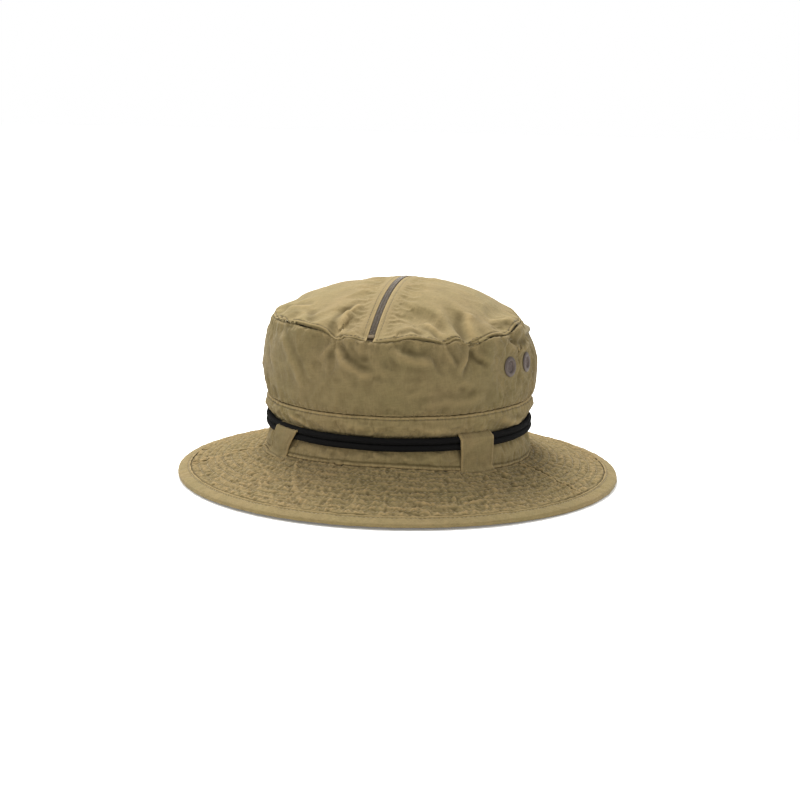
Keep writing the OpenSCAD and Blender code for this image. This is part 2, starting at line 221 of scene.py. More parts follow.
def upsample(g, f, axis, wrap):
    """f times as many cells along an axis, by a cubic through the points."""
    g = np.moveaxis(g, axis, 0)
    n = len(g)
    cells = n if wrap else n - 1
    x = np.arange(cells * f + (0 if wrap else 1)) / f
    i = np.minimum(np.floor(x).astype(int), n - 1 if wrap else n - 2)
    t = (x - i).reshape((-1,) + (1,) * (g.ndim - 1))
    if wrap:
        p = [g[(i + k) % n] for k in (-1, 0, 1, 2)]
    else:
        e = np.concatenate([2 * g[:1] - g[1:2], g, 2 * g[-1:] - g[-2:-1]])
        p = [e[i + k + 1] for k in (-1, 0, 1, 2)]
    out = 0.5 * (2 * p[1] + (p[2] - p[0]) * t + (2 * p[0] - 5 * p[1] + 4 * p[2] - p[3]) * t**2
                 + (3 * (p[1] - p[2]) + p[3] - p[0]) * t**3)
    return np.moveaxis(out, 0, axis)


def blur(g, n, axis, wrap):
    for _ in range(n):
        if wrap:
            g = 0.25 * np.roll(g, 1, axis) + 0.5 * g + 0.25 * np.roll(g, -1, axis)
        else:
            g = np.moveaxis(g, axis, 0)
            e = np.concatenate([g[:1], g, g[-1:]])
            g = np.moveaxis(0.25 * e[:-2] + 0.5 * e[1:-1] + 0.25 * e[2:], 0, axis)
    return g


def shell(name, g, n, thick, wrap, uv, attrs=None, inner_step=6, holes=None, gap=0.0):
    """A closed sheet of cloth under its outer face g (rows, cols, 3), with rolled edges at its two ends."""
    rows, cols = g.shape[:2]
    pick = np.unique(np.round(np.linspace(0, rows - 1, max(2, (rows - 1) // inner_step + 1))).astype(int))
    inner = (g - n * thick)[pick]
    out0 = g[0] - g[2]
    out1 = g[-1] - g[-3]
    mids = []
    for o, i, out in ((g[0], inner[0], out0), (g[-1], inner[-1], out1)):
        out = out / np.maximum(np.linalg.norm(out, axis=1, keepdims=True), 1e-9)
        mids.append((o + i) / 2 + out * thick * 0.42)
    verts = np.concatenate([g.reshape(-1, 3), inner.reshape(-1, 3), mids[0], mids[1]])
    top, ni = rows * cols, len(pick) * cols
    fo, fi = grid_faces(rows, cols, wrap), grid_faces(len(pick), cols, wrap, top, True)
    faces = []
    if holes is not None:  # only with inner_step=1: the same cells go from both faces, and strips join their borders
        w = cols if wrap else cols - 1
        hole = holes.reshape(-1)
        bridge = []
        hg = holes
        for r, c in np.argwhere(hg):
            c2 = (c + 1) % cols
            for dr, dc, p0, p1 in ((-1, 0, (r, c), (r, c2)), (1, 0, (r + 1, c2), (r + 1, c)),
                                   (0, -1, (r + 1, c), (r, c)), (0, 1, (r, c2), (r + 1, c2))):
                if not hg[r + dr, (c + dc) % w]:
                    k0, k1 = p0[0] * cols + p0[1], p1[0] * cols + p1[1]
                    bridge.append([k0, k1, k1 + top, k0 + top])
        faces += [fo[~hole], fi[~hole], np.array(bridge)]
    else:
        faces += [fo, fi]
    c = np.arange(cols if wrap else cols - 1)
    c2 = (c + 1) % cols
    for k, (o, i, m) in enumerate(((0, top, top + ni), ((rows - 1) * cols, top + ni - cols, top + ni + cols))):
        f = [np.stack([o + c, m + c, m + c2, o + c2], -1), np.stack([m + c, i + c, i + c2, m + c2], -1)]
        faces += [q if k else q[:, ::-1] for q in f]
    if not wrap:
        for e in (0, cols - 1):
            o = [r * cols + e for r in range(rows)]
            i = [top + r * cols + e for r in range(len(pick))]
            tri = [[o[-1], top + ni + cols + e, i[-1]], [o[0], i[0], top + ni + e]]
            for k in range(len(pick) - 1):
                tri += [[o[r], o[r + 1], i[k]] for r in range(pick[k], pick[k + 1])]
                tri.append([o[pick[k + 1]], i[k + 1], i[k]])
            faces.append(np.array(tri))
    uvs = np.concatenate([uv.reshape(-1, 2), uv[pick].reshape(-1, 2), uv[0], uv[-1]])
    extra = {k: np.concatenate([v.ravel(), v[pick].ravel() * 0, v[0], v[-1]]) for k, v in (attrs or {}).items()}
    groups = {}
    for f in faces:
        groups.setdefault(f.shape[1], []).append(f)
    return fix_normals(make_mesh(name, verts, [np.concatenate(v) for v in groups.values()], uvs, True, extra))


def fix_normals(ob):
    import bmesh
    bm = bmesh.new()
    bm.from_mesh(ob.data)
    bmesh.ops.recalc_face_normals(bm, faces=bm.faces)
    bm.to_mesh(ob.data)
    bm.free()
    return ob


def tube(name, pts, radius, sides, up=None, caps=True, uv=True):
    """A tube along points, with frames carried along the curve so that it doesn't twist."""
    pts = np.asarray(pts, float)
    n = len(pts)
    t = np.gradient(pts, axis=0)
    t /= np.linalg.norm(t, axis=1, keepdims=True)
    u = np.zeros_like(pts)
    u0 = np.cross(t[0], up if up is not None else [0.0, 0.0, 1.0])
    u[0] = u0 / np.linalg.norm(u0)
    for i in range(1, n):
        v = u[i - 1] - t[i] * (u[i - 1] @ t[i])
        u[i] = v / np.linalg.norm(v)
    w = np.cross(t, u)
    k = np.radians(np.arange(sides) * 360.0 / sides)
    rad = np.broadcast_to(np.asarray(radius, float), (n, sides)) if np.ndim(radius) == 2 else np.broadcast_to(
        np.asarray(radius, float).reshape(-1, 1), (n, sides))
    g = pts[:, None] + rad[..., None] * (np.cos(k)[None, :, None] * u[:, None] + np.sin(k)[None, :, None] * w[:, None])
    s = np.concatenate([[0], np.cumsum(np.linalg.norm(np.diff(pts, axis=0), axis=1))])
    uvg = np.stack(np.broadcast_arrays(s[:, None] * 0.001, (k * np.mean(rad) * 0.001)[None, :]), -1)
    verts = [g.reshape(-1, 3)]
    uvs = [uvg.reshape(-1, 2)]
    faces = [grid_faces(n, sides, True)]
    if caps:
        base = n * sides
        verts.append(pts[[0, -1]])
        uvs.append(uvg[[0, -1], 0])
        j = np.arange(sides)
        faces.append(np.stack([np.full(sides, base), (j + 1) % sides, j], -1))
        faces.append(np.stack([np.full(sides, base + 1), (n - 1) * sides + j, (n - 1) * sides + (j + 1) % sides], -1))
    return fix_normals(make_mesh(name, np.concatenate(verts), faces, np.concatenate(uvs)))


def join_parts(name, parts, attrs=None):
    """One mesh from (verts, [face arrays]) parts."""
    verts, faces, base = [], [], 0
    for v, fs in parts:
        v = np.asarray(v, float).reshape(-1, 3)
        verts.append(v)
        faces += [np.asarray(f) + base for f in fs]
        base += len(v)
    by_size = {}
    for f in faces:
        by_size.setdefault(f.shape[1], []).append(f)
    return make_mesh(name, np.concatenate(verts), [np.concatenate(v) for v in by_size.values()], attrs=attrs)


def along(line, closed, pitch, phase=0.0):
    """Points every pitch mm along a polyline: positions as (segment, share) lists."""
    p = np.concatenate([line, line[:1]]) if closed else line
    s = np.concatenate([[0], np.cumsum(np.linalg.norm(np.diff(p, axis=0), axis=1))])
    n = max(1, int(round(s[-1] / pitch)))
    return s, (np.arange(n) + 0.5 + phase) * s[-1] / n, s[-1] / n


def sample(line, normals, closed, at, s):
    p = np.concatenate([line, line[:1]]) if closed else line
    n = np.concatenate([normals, normals[:1]]) if closed else normals
    at = np.mod(at, s[-1]) if closed else np.clip(at, 0, s[-1])
    q = np.stack([np.interp(at, s, p[:, k]) for k in range(3)], -1)
    m = np.stack([np.interp(at, s, n[:, k]) for k in range(3)], -1)
    return q, m / np.maximum(np.linalg.norm(m, axis=-1, keepdims=True), 1e-9)


def stitches(line, normals, closed, pitch=3.0, length=2.35, radius=0.2, lift=0.06, phase=0.0):
    """Thread along a line: one low arch of thread for each stitch, its ends under the cloth."""
    s, centres, step = along(line, closed, pitch, phase)
    if not closed:
        centres = centres[(centres > length * 0.6) & (centres < s[-1] - length * 0.6)]
    rings, sides = 6, 6
    t = np.linspace(-0.5, 0.5, rings)
    at = centres[:, None] + t[None] * length
    q, m = sample(line, normals, closed, at.ravel(), s)
    q, m = q.reshape(-1, rings, 3), m.reshape(-1, rings, 3)
    d = np.gradient(q, axis=1)
    d /= np.maximum(np.linalg.norm(d, axis=-1, keepdims=True), 1e-9)
    side = np.cross(d, m)
    height = lift - (2 * np.abs(t)) ** 4 * (lift + radius * 1.3)
    rad = radius * (1 - 0.45 * (2 * np.abs(t)) ** 4)
    k = np.radians(np.arange(sides) * 60)
    g = (q + m * height[None, :, None])[:, :, None] + rad[None, :, None, None] * (
        np.cos(k)[None, None, :, None] * side[:, :, None] + np.sin(k)[None, None, :, None] * m[:, :, None])
    c = len(centres)
    f = grid_faces(rings, sides, True)
    cap0 = np.array([[5, 4, 3, 2, 1, 0]])
    cap1 = np.array([[0, 1, 2, 3, 4, 5]]) + (rings - 1) * sides
    per = rings * sides
    off = np.arange(c)[:, None, None] * per
    return g.reshape(-1, 3), [(f[None] + off).reshape(-1, 4), (np.concatenate([cap0, cap1])[None] + off).reshape(-1, 6)]


def iso_line(g, n, dist, end, axis=0):
    """The line at a distance from one edge of a grid, with its normals."""
    if axis == 1:
        g, n = np.swapaxes(g, 0, 1), np.swapaxes(n, 0, 1)
    if end:
        g, n = g[::-1], n[::-1]
    s = np.concatenate([np.zeros((1, g.shape[1])), np.cumsum(np.linalg.norm(np.diff(g, axis=0), axis=-1), axis=0)])
    d = np.broadcast_to(dist, (g.shape[1],))
    i = np.clip((s < d[None]).sum(0) - 1, 0, len(g) - 2)
    c = np.arange(g.shape[1])
    t = ((d - s[i, c]) / np.maximum(s[i + 1, c] - s[i, c], 1e-9))[:, None]
    q = g[i, c] * (1 - t) + g[i + 1, c] * t
    m = n[i, c] * (1 - t) + n[i + 1, c] * t
    return q, m / np.linalg.norm(m, axis=1, keepdims=True)


def edge_dist(g, end, axis=0):
    """Distance of each grid point from one edge, along the grid's lines."""
    if axis == 1:
        return np.swapaxes(edge_dist(np.swapaxes(g, 0, 1), end, 0), 0, 1)
    if end:
        return edge_dist(g[::-1], False, 0)[::-1]
    return np.concatenate([np.zeros((1, g.shape[1])), np.cumsum(np.linalg.norm(np.diff(g, axis=0), axis=-1), axis=0)])


# ------------------------------------------------------------------ the crown's own curves
# The hat is soft: its seams wander, and its crown leans a little to its right.
TOP_LINE = curve_of([(180, 109.6), (197, 110.4), (211, 110.8), (227, 111.8), (238, 110.8), (248, 108.6), (254.5, 104.4),
                  (260, 106.6), (266.5, 105.3), (272, 104.4), (281, 105.0), (287.8, 106.6), (294, 105.2), (303.8, 103.0),
                  (309, 105.0), (316, 101.6), (326, 105.2), (338, 106.2), (344, 109.8), (352, 110.6), (361, 109.6),
                  (376, 108.8), (392, 107.4), (401, 104.8), (408, 106.6), (424, 105.8), (436, 104.2), (450, 104.6),
                  (462, 105.6), (471, 103.2), (480, 105.0), (497, 107.2), (508, 106.2), (520, 108.8)])
D_TOP = curve_of([(180, -2.2), (197, -2.0), (211, -0.8), (227, 0.6), (240, 0.6), (254.5, -1.6), (261, 0.2), (270, -0.2), (281, 0.2),
                  (288, 0.9), (296, 0.2), (303.8, -1.2), (309, 0.3), (316, -1.7), (324, 0.5), (338, -0.4), (345, -1.0),
                  (353, -3.4), (366, -4.6), (384, -3.4), (400, -2.4), (408, 0.4), (424, 0.7), (440, 0.2), (450, -0.2),
                  (460, 0.5), (471, -1.4), (480, 0.5), (500, 0.9), (508, -0.4), (520, 0.6)])


def x_of(a):
    return oval(a, 0)[0]


D_LINE = D_TOP


def D_TOP(a):
    return D_LINE(a) - 3.2 * np.exp(-(adiff(a, 6) / 30) ** 2)


def Z_TOP(a):
    return TOP_LINE(a) + 0.016 * x_of(a) + 0.9 - 3.4 * np.exp(-(adiff(a, 8) / 34) ** 2)


SADDLE = curve_of([(180, -1.6), (197, -1.8), (212, -0.2), (230, 2.0), (250, 3.4), (271, 3.9), (290, 3.2), (305, 1.2), (320, -0.6),
                   (340, -2.8), (367, -3.6), (385, -2.4), (410, 0.6), (450, 2.6), (490, 1.2), (515, -1.0)])


def z_low(a):
    return SEAM_LOW - 0.6 + 0.010 * x_of(a) + 0.35 * ring(a, 30, 3.0, N2)


def z_brim(a):
    return BRIM_RISE + SADDLE(a) + 0.25 * ring(a, 24, 7.0, N2)


def z_cord(a):
    return CORD_Z + (0.9 - 0.004 * x_of(a)) * (1 - np.exp(-(adiff(a, 90) / 26.0) ** 2))


VENTS = [(side, ang) for side in (0, 180) for ang in (11.0, 24.5)]
VENT_Z, VENT_R = 85.5, 6.75
HOLE_R = VENT_R - 2.75


def vent_frame(side, ang):
    """Centre, outward normal, up vector and sideways vector of a vent."""
    a = side - ang
    tilt = math.radians(math.degrees(math.atan((3.0 - 1.28) / 21)))
    off = 3.0 - (VENT_Z - 77) * (3.0 - 1.28) / 21
    x, y = oval(a, off)
    t = math.radians(a)
    out = np.array([math.cos(t), math.sin(t), 0.0])
    n = out * math.cos(tilt) + np.array([0, 0, 1.0]) * math.sin(tilt)
    side_v = np.array([-math.sin(t), math.cos(t), 0.0])
    up = np.cross(n, side_v)
    return np.array([float(x), float(y), VENT_Z]), n, up, side_v, a % 360


VENT_FRAMES = [vent_frame(*v) for v in VENTS]


def vent_weight(x, y, z, r0=8.0, r1=14.0):
    w = np.zeros(np.shape(x))
    for c, n, up, sv, a in VENT_FRAMES:
        d = np.sqrt((x - c[0]) ** 2 + (y - c[1]) ** 2 + (z - c[2]) ** 2)
        w = np.maximum(w, 1 - ramp(d, r0, r1))
    return w


def wall_base(a, t):
    """Resting place of the side wall at angle a and share t of its height."""
    zl, zt = z_low(a), Z_TOP(a)
    z = zl + t * (zt - zl)
    off = np.interp(t, [0, .04, .1, .22, .38, .52, .68, .82, .92, .97, 1.0],
                    [0.8, 0.9, 1.3, 2.0, 2.3, 2.1, 1.6, 1.2, 0.8, 0.4, 0.0])
    off = off + D_TOP(a) * ramp(t, 0.52, 1.0)
    # soft swellings and hollows that the crumpled cloth shows
    for a0, t0, wa, wt, amp in ((262, .83, 7, .11, -1.6), (247, .70, 9, .16, 1.2), (291, .86, 8, .10, -2.4), (276, .74, 9, .13, 1.0),
                                (303, .68, 8, .16, 1.1), (316, .80, 5, .16, -1.2), (328, .70, 8, .2, 1.1), (232, .55, 14, .2, .8),
                                (205, .62, 12, .2, -.8), (346, .93, 7, .1, 1.4), (352, .40, 12, .16, .7), (300, .30, 16, .10, -.9),
                                (280, .42, 16, .10, .6), (318, .22, 12, .09, -.8), (222, .32, 14, .10, -.8), (190, .4, 12, .2, .6),
                                (20, .7, 10, .18, 1.0), (40, .84, 6, .12, -1.6), (62, .62, 12, .18, .8), (90, .8, 9, .12, -.9),
                                (111, .82, 6, .13, -1.7), (126, .6, 12, .2, 1.0), (150, .75, 10, .16, -.8), (75, .3, 16, .1, -.7),
                                (135, .3, 16, .1, .7), (165, .5, 12, .2, .7)):
        off = off + amp * np.exp(-(adiff(a, a0) / wa) ** 2 - ((t - t0) / wt) ** 2)
    x, y = oval(a, off)
    w = vent_weight(x, y, z, 8.5, 15)
    off = off * (1 - w) + (3.0 - (z - 77) * (3.0 - 1.28) / 21 - 0.02) * w
    return on_oval(a, off, z)


def band_base(a, t):
    zs, zl, zc = z_brim(a), z_low(a), z_cord(a)
    top = zl + 2.6
    z = zs + t * (top - zs)
    pts = [(zs, 0.55), (zs + 2.2, 0.35), (zs + 5, -0.1), (zc - 7.5, -1.7), (zc - 5, -2.5), (zc + 4.6, -2.5), (zc + 6.4, -0.3),
           (zc + 9, 1.3), (zc + 14, 1.4), (zl - 2, 0.85), (zl, 0.1), (zl + 1, -0.3), (top, -0.3)]
    off = np.zeros(np.broadcast(a, t).shape)
    zz = np.broadcast_to(z, off.shape)
    for (z0, v0), (z1, v1) in zip(pts, pts[1:]):
        m = (zz >= z0 - 1e-9)
        off = np.where(m, v0 + (v1 - v0) * smooth((zz - z0) / (z1 - z0)), off)
    return on_oval(a, off, z)


def sphere_z(x, y):
    return DOME_Z + np.sqrt(np.maximum(DOME_R**2 - x**2 - y**2, 1))


ZIP_X = 2.15


def tip_base(side, m=44, n=88):
    """Grid of one half of the crown's top: rows run across, from the zip out; the outer edge follows the seam."""
    v = np.linspace(-1, 1, n + 1)[:, None]
    u = np.linspace(0, 1, m + 1)[None, :]
    X, Y = u * np.sqrt(1 - v * v / 2), v * np.sqrt(1 - u * u / 2)
    th = np.degrees(np.arctan2(Y, np.where(X == 0, 1e-9, X)))
    rho = np.hypot(X, Y)
    a = th if side > 0 else 180 - th
    bx, by = oval(a, D_TOP(a))
    x, y = rho * bx, rho * by
    xb = np.maximum(np.abs(x[:, -1:]), 1e-6)
    xs = ZIP_X + np.abs(x) * (xb - ZIP_X) / xb
    x = side * xs
    edge = np.zeros(x.shape, bool)
    edge[0], edge[-1], edge[:, -1] = True, True, True
    ea, _ = to_oval(x, y)
    ex, ey = oval(ea, D_TOP(ea))
    x, y = np.where(edge, ex, x), np.where(edge, ey, y)
    x[[0, -1], 0] = side * ZIP_X
    dz = Z_TOP(ea) - sphere_z(ex, ey)
    w = ramp(rho, 0.72, 1.0) * ramp(np.abs(x), 2.2, 12.0) + ramp(rho, 0.955, 1.0) * (1 - ramp(np.abs(x), 2.2, 12.0))
    z = sphere_z(x, y) + dz * w
    # the cloth falls away on both sides of the zip, more on the wearer's left, and dips at the puckered corners
    k = (1 - ramp(rho, 0.80, 0.98)) * (1 - 0.35 * ramp(np.abs(y), 30, 80))
    z = z - k * np.where(x > 0, 2.4 * np.exp(-((x - 27) / 17) ** 2) + 4.8 * np.exp(-((x - 68) / 24) ** 2),
                         2.8 * np.exp(-((x + 26) / 16) ** 2) + 2.0 * np.exp(-((x + 55) / 22) ** 2))
    for a0, r0, wa, wr, amp in ((254.5, .86, 6, .13, -2.2), (240, .80, 10, .14, 1.6), (281, .90, 7, .08, 1.3), (303.8, .90, 6, .09, -1.8),
                                (292, .88, 6, .08, 1.2), (316, .84, 6, .15, -2.4), (328, .86, 8, .12, 1.4), (345, .90, 8, .08, 1.8),
                                (205, .82, 12, .14, 1.4), (264, .93, 4, .06, .8), (20, .85, 12, .12, 1.4), (40, .86, 6, .12, -2.0),
                                (60, .86, 9, .1, 1.2), (111, .86, 6, .13, -2.0), (127, .84, 10, .12, 1.4), (150, .86, 8, .1, -1.2)):
        z = z + amp * np.exp(-(adiff(ea, a0) / wa) ** 2 - ((rho - r0) / wr) ** 2) * (1 - w * 0.6) * ramp(np.abs(x), 4, 14)
    return np.stack([x, y, z], -1)


# ------------------------------------------------------------------ cloth simulation of the crown's panels
def simulate(panels, frames):
    made = []
    for p in panels:
        g = p["g"]
        rows, cols = g.shape[:2]
        f = grid_faces(rows, cols, p["wrap"], 0, p.get("flip", False))
        ob = make_mesh("sim", g.reshape(-1, 3) * 10, f)
        vg = ob.vertex_groups.new(name="pin")
        w = p["pin"].ravel()
        for level in np.unique(np.round(w, 2)):
            if level > 0:
                vg.add(np.nonzero(np.round(w, 2) == level)[0].tolist(), float(level), "REPLACE")
        md = ob.modifiers.new("Cloth", "CLOTH")
        c = md.settings
        c.quality = 6
        c.mass = 0.2
        c.tension_stiffness = c.compression_stiffness = 25
        c.shear_stiffness = 8
        c.bending_stiffness = p.get("bend", 0.5)
        c.tension_damping = c.compression_damping = 8
        c.shear_damping = 6
        c.bending_damping = 0.5
        c.air_damping = 2
        c.vertex_group_mass = "pin"
        c.pin_stiffness = 1.0
        c.shrink_min = p["shrink"]
        c.use_pressure = True
        c.uniform_pressure_force = p["pressure"]
        c.effector_weights.gravity = p.get("gravity", 0.02)
        md.collision_settings.use_collision = False
        md.point_cache.frame_start, md.point_cache.frame_end = 1, frames
        made.append(ob)
    for f in range(1, frames + 1):
        SCENE.frame_set(f)
    dg = bpy.context.evaluated_depsgraph_get()
    out = []
    for p, ob in zip(panels, made):
        e = ob.evaluated_get(dg)
        co = np.zeros(len(e.data.vertices) * 3, np.float32)
        e.data.vertices.foreach_get("co", co)
        g = co.reshape(p["g"].shape).astype(float) * 100
        move = g - p["g"]
        out_n = grid_normals(p["g"], p["wrap"])
        if np.mean(out_n[..., 2] if not p["wrap"] else (out_n * p["g"])[..., :2].sum(-1)) < 0:
            out_n = -out_n
        sink = (move * out_n).sum(-1, keepdims=True)
        move = move + out_n * (np.maximum(sink, -p.get("sink", 1.2)) - sink)
        size = np.linalg.norm(move, axis=-1, keepdims=True)
        g = p["g"] + move * np.minimum(1, p["cap"] / np.maximum(size, 1e-6))
        g = np.where(np.isfinite(g), g, p["g"])
        out.append(g)
    for ob in made:
        me = ob.data
        bpy.data.objects.remove(ob)
        bpy.data.meshes.remove(me)
    SCENE.frame_set(1)
    return out


# ------------------------------------------------------------------ camera, floor and light
AZ, EL = math.radians(12.0), math.radians(10.15)
TARGET = Vector((0, 0, 0.060))
cam = bpy.data.objects.new("camera", bpy.data.cameras.new("camera"))
SCENE.collection.objects.link(cam)
cam.location = TARGET + 1.1 * Vector((math.sin(AZ) * math.cos(EL), -math.cos(AZ) * math.cos(EL), math.sin(EL)))
cam.rotation_euler = ((TARGET - cam.location).to_track_quat("-Z", "Y").to_matrix() @ Matrix.Rotation(math.radians(1.3), 3, "Z")).to_euler()
cam.data.lens, cam.data.sensor_width = 70.92, 36.0
cam.data.shift_y = -0.0169
cam.data.clip_start, cam.data.clip_end = 0.02, 60
SCENE.camera = cam
SCENE.view_settings.view_transform = "Standard"
SCENE.view_settings.look = "None"

world = bpy.data.worlds.new("studio")
world.use_nodes = True
world.node_tree.nodes["Background"].inputs["Color"].default_value = (1.0, 1.0, 1.0, 1)
world.node_tree.nodes["Background"].inputs["Strength"].default_value = 1.0
SCENE.world = world


def area(name, loc, look, size, power, colour=(1, 1, 1)):
    light = bpy.data.lights.new(name, "AREA")
    light.shape, light.size, light.energy, light.color = "DISK", size, power, colour
    ob = bpy.data.objects.new(name, light)
    SCENE.collection.objects.link(ob)
    ob.location = loc
    ob.rotation_euler = (Vector(look) - Vector(loc)).to_track_quat("-Z", "Y").to_euler()
    return ob


area("light_top", (-0.30, 0.50, 1.35), (0, 0, 0.05), 0.62, 31, (1.0, 0.985, 0.955))
area("light_left", (-1.15, -0.35, 1.0), (0, 0, 0.05), 0.5, 4.0, (1.0, 0.98, 0.95))
area("light_right", (1.2, -0.2, 0.8), (0, 0, 0.05), 0.5, 0.5, (1.0, 0.98, 0.95))


# ------------------------------------------------------------------ materials
class Nodes:
    """A short way to write a node tree."""

    def __init__(self, name):
        self.m = bpy.data.materials.new(name)
        self.m.use_nodes = True
        self.t = self.m.node_tree
        self.t.nodes.clear()

    def add(self, kind, ins=None, **props):
        n = self.t.nodes.new(kind)
        for k, v in props.items():
            setattr(n, k, v)
        for k, v in (ins or {}).items():
            self.put(n, k, v)
        return n

    def put(self, n, k, v):
        sock = n.inputs[k]
        if isinstance(v, bpy.types.NodeSocket):
            self.t.links.new(v, sock)
        else:
            sock.default_value = v

    def math(self, op, a, b=None, c=None, clamp=False):
        n = self.add("ShaderNodeMath", operation=op, use_clamp=clamp)
        for i, v in enumerate((a, b, c)):
            if v is not None:
                self.put(n, i, v)
        return n.outputs[0]

    def mix(self, fac, a, b, mode="MIX"):
        n = self.add("ShaderNodeMix", data_type="RGBA", blend_type=mode)
        for k, v in ((0, fac), (6, a), (7, b)):
            self.put(n, k, v)
        return n.outputs[2]

    def noise(self, vec, scale, detail=3.0, rough=0.55, distortion=0.0):
        return self.add("ShaderNodeTexNoise", {"Vector": vec, "Scale": scale, "Detail": detail, "Roughness": rough,
                                               "Distortion": distortion}).outputs[0]

    def remap(self, v, a, b, c, d):
        return self.add("ShaderNodeMapRange", {"Value": v, "From Min": a, "From Max": b, "To Min": c, "To Max": d}).outputs[0]

    def attr(self, name):
        return self.add("ShaderNodeAttribute", attribute_name=name, attribute_type="GEOMETRY").outputs["Fac"]

    def mm(self, scale=(1000, 1000, 1000)):
        """Object coordinates in millimetres."""
        tc = self.add("ShaderNodeTexCoord")
        return self.add("ShaderNodeMapping", {"Vector": tc.outputs["Object"], "Scale": scale}).outputs[0]

    def uv(self, angle=0.0):
        u = self.add("ShaderNodeUVMap", uv_map="cloth")
        return self.add("ShaderNodeMapping", {"Vector": u.outputs[0], "Scale": (1000, 1000, 1000),
                                              "Rotation": (0, 0, math.radians(angle))}).outputs[0]

    def bump(self, height, distance, normal=None, strength=1.0):
        ins = {"Height": height, "Distance": distance, "Strength": strength}
        if normal is not None:
            ins["Normal"] = normal
        return self.add("ShaderNodeBump", ins).outputs[0]

    def out(self, **ins):
        b = self.add("ShaderNodeBsdfPrincipled", {k.replace("_", " "): v for k, v in ins.items()})
        o = self.add("ShaderNodeOutputMaterial")
        self.t.links.new(b.outputs[0], o.inputs[0])
        return self.m


def rgb(r, g, b, k=1.0):
    """Linear colour from an 8-bit sRGB one."""
    return tuple(k * (c / 255 / 12.92 if c <= 10.31 else ((c / 255 + 0.055) / 1.055) ** 2.4) for c in (r, g, b)) + (1,)


def cloth(name, base, angle=0.0, pitch=0.62, weave=0.05, wrinkle=0.10, fade=1.0, sheen=0.05, warm=1.0):
    """Washed cotton twill: diagonal ribs, slubs, faded patches and paler rubbed ridges, with painted shade darkening
    its creases, seams and the grooves between its ribs.
    """
    n = Nodes(name)
    uv, mm = n.uv(angle), n.mm()
    ribs = n.add("ShaderNodeTexWave", {"Vector": uv, "Scale": 0.628 / pitch, "Distortion": 0.7, "Detail": 2.0,
                                       "Detail Scale": 1.5}, bands_direction="DIAGONAL").outputs["Fac"]
    yarn = n.add("ShaderNodeTexWave", {"Vector": uv, "Scale": 0.314 / (pitch * 0.62), "Distortion": 0.4, "Detail": 1.0},
                 bands_direction="X").outputs["Fac"]
    slub = n.noise(uv, 1.4, 4.0, 0.65)
    patch = n.noise(mm, 0.022, 4.0, 0.6, 0.4)
    patch2 = n.noise(mm, 0.11, 5.0, 0.62, 0.3)
    fleck = n.noise(mm, 0.9, 3.0, 0.6)
    wear_and_shade = n.attr("wear_and_shade")
    pale = tuple(min(1, c * k) for c, k in zip(base[:3], (1.58, 1.52 / warm, 1.48 / warm))) + (1,)
    # Darker tone for faded patches and streaks, also used as painted shade in grooves, creases and seams.
    darker_tone_and_shade = tuple(c * k for c, k in zip(base[:3], (0.47, 0.46, 0.38))) + (1,)
    green = (base[0] * 0.90, base[1] * 0.97, base[2] * 0.90, 1)
    c = n.mix(n.remap(patch, 0.35, 0.68, 0.0, 1.0), base, green)
    c = n.mix(n.remap(patch2, 0.42, 0.75, 0.0, 0.14 * fade), c, pale)
    c = n.mix(n.remap(patch2, 0.55, 0.28, 0.0, 0.13 * fade), c, darker_tone_and_shade)
    c = n.mix(n.remap(fleck, 0.35, 0.75, 0.0, 0.24), c, pale)
    across = n.noise(n.add("ShaderNodeMapping", {"Vector": uv, "Scale": (0.16, 1.1, 1)}).outputs[0], 1.0, 4.0, 0.6)
    down = n.noise(n.add("ShaderNodeMapping", {"Vector": uv, "Scale": (1.1, 0.16, 1)}).outputs[0], 1.0, 4.0, 0.6)
    streak = n.math("ADD", across, down)
    c = n.mix(n.remap(streak, 1.0, 1.35, 0.0, 0.30), c, pale)
    c = n.mix(n.remap(streak, 1.0, 0.65, 0.0, 0.30), c, darker_tone_and_shade)
    # Painted shade: the grooves between the twill ribs are darkened.
    c = n.mix(n.math("MULTIPLY", n.remap(ribs, 0.0, 1.0, 0.30, 0.0), 1.0), c, darker_tone_and_shade)
    c = n.mix(n.math("MULTIPLY", n.remap(wear_and_shade, 0.0, 1.0, 0.0, 0.75), n.remap(slub, 0.25, 0.6, 0.6, 1.0), clamp=True), c, pale)
    # Painted shade: below zero the attribute darkens creases, hollows and seams; above zero (line above) it makes
    # rubbed ridges paler.
    c = n.mix(n.remap(wear_and_shade, 0.0, -1.0, 0.0, 0.95), c, darker_tone_and_shade)
    h = n.math("ADD", n.math("MULTIPLY", ribs, 0.75), n.math("MULTIPLY", yarn, 0.35))
    h = n.math("ADD", h, n.math("MULTIPLY", slub, 0.9))
    b = n.bump(h, weave * 0.001)
    crinkle = n.noise(mm, 0.42, 5.0, 0.6, 0.6)
    b = n.bump(crinkle, wrinkle * 0.004, b)
    return n.out(Base_Color=c, Roughness=n.remap(slub, 0.3, 0.7, 0.82, 0.94), Normal=b, Specular_IOR_Level=0.22,
                 Sheen_Weight=sheen, Sheen_Roughness=0.45, Sheen_Tint=(1.0, 0.94, 0.82, 1))


CLOTH = (0.197, 0.1480, 0.0685, 1)
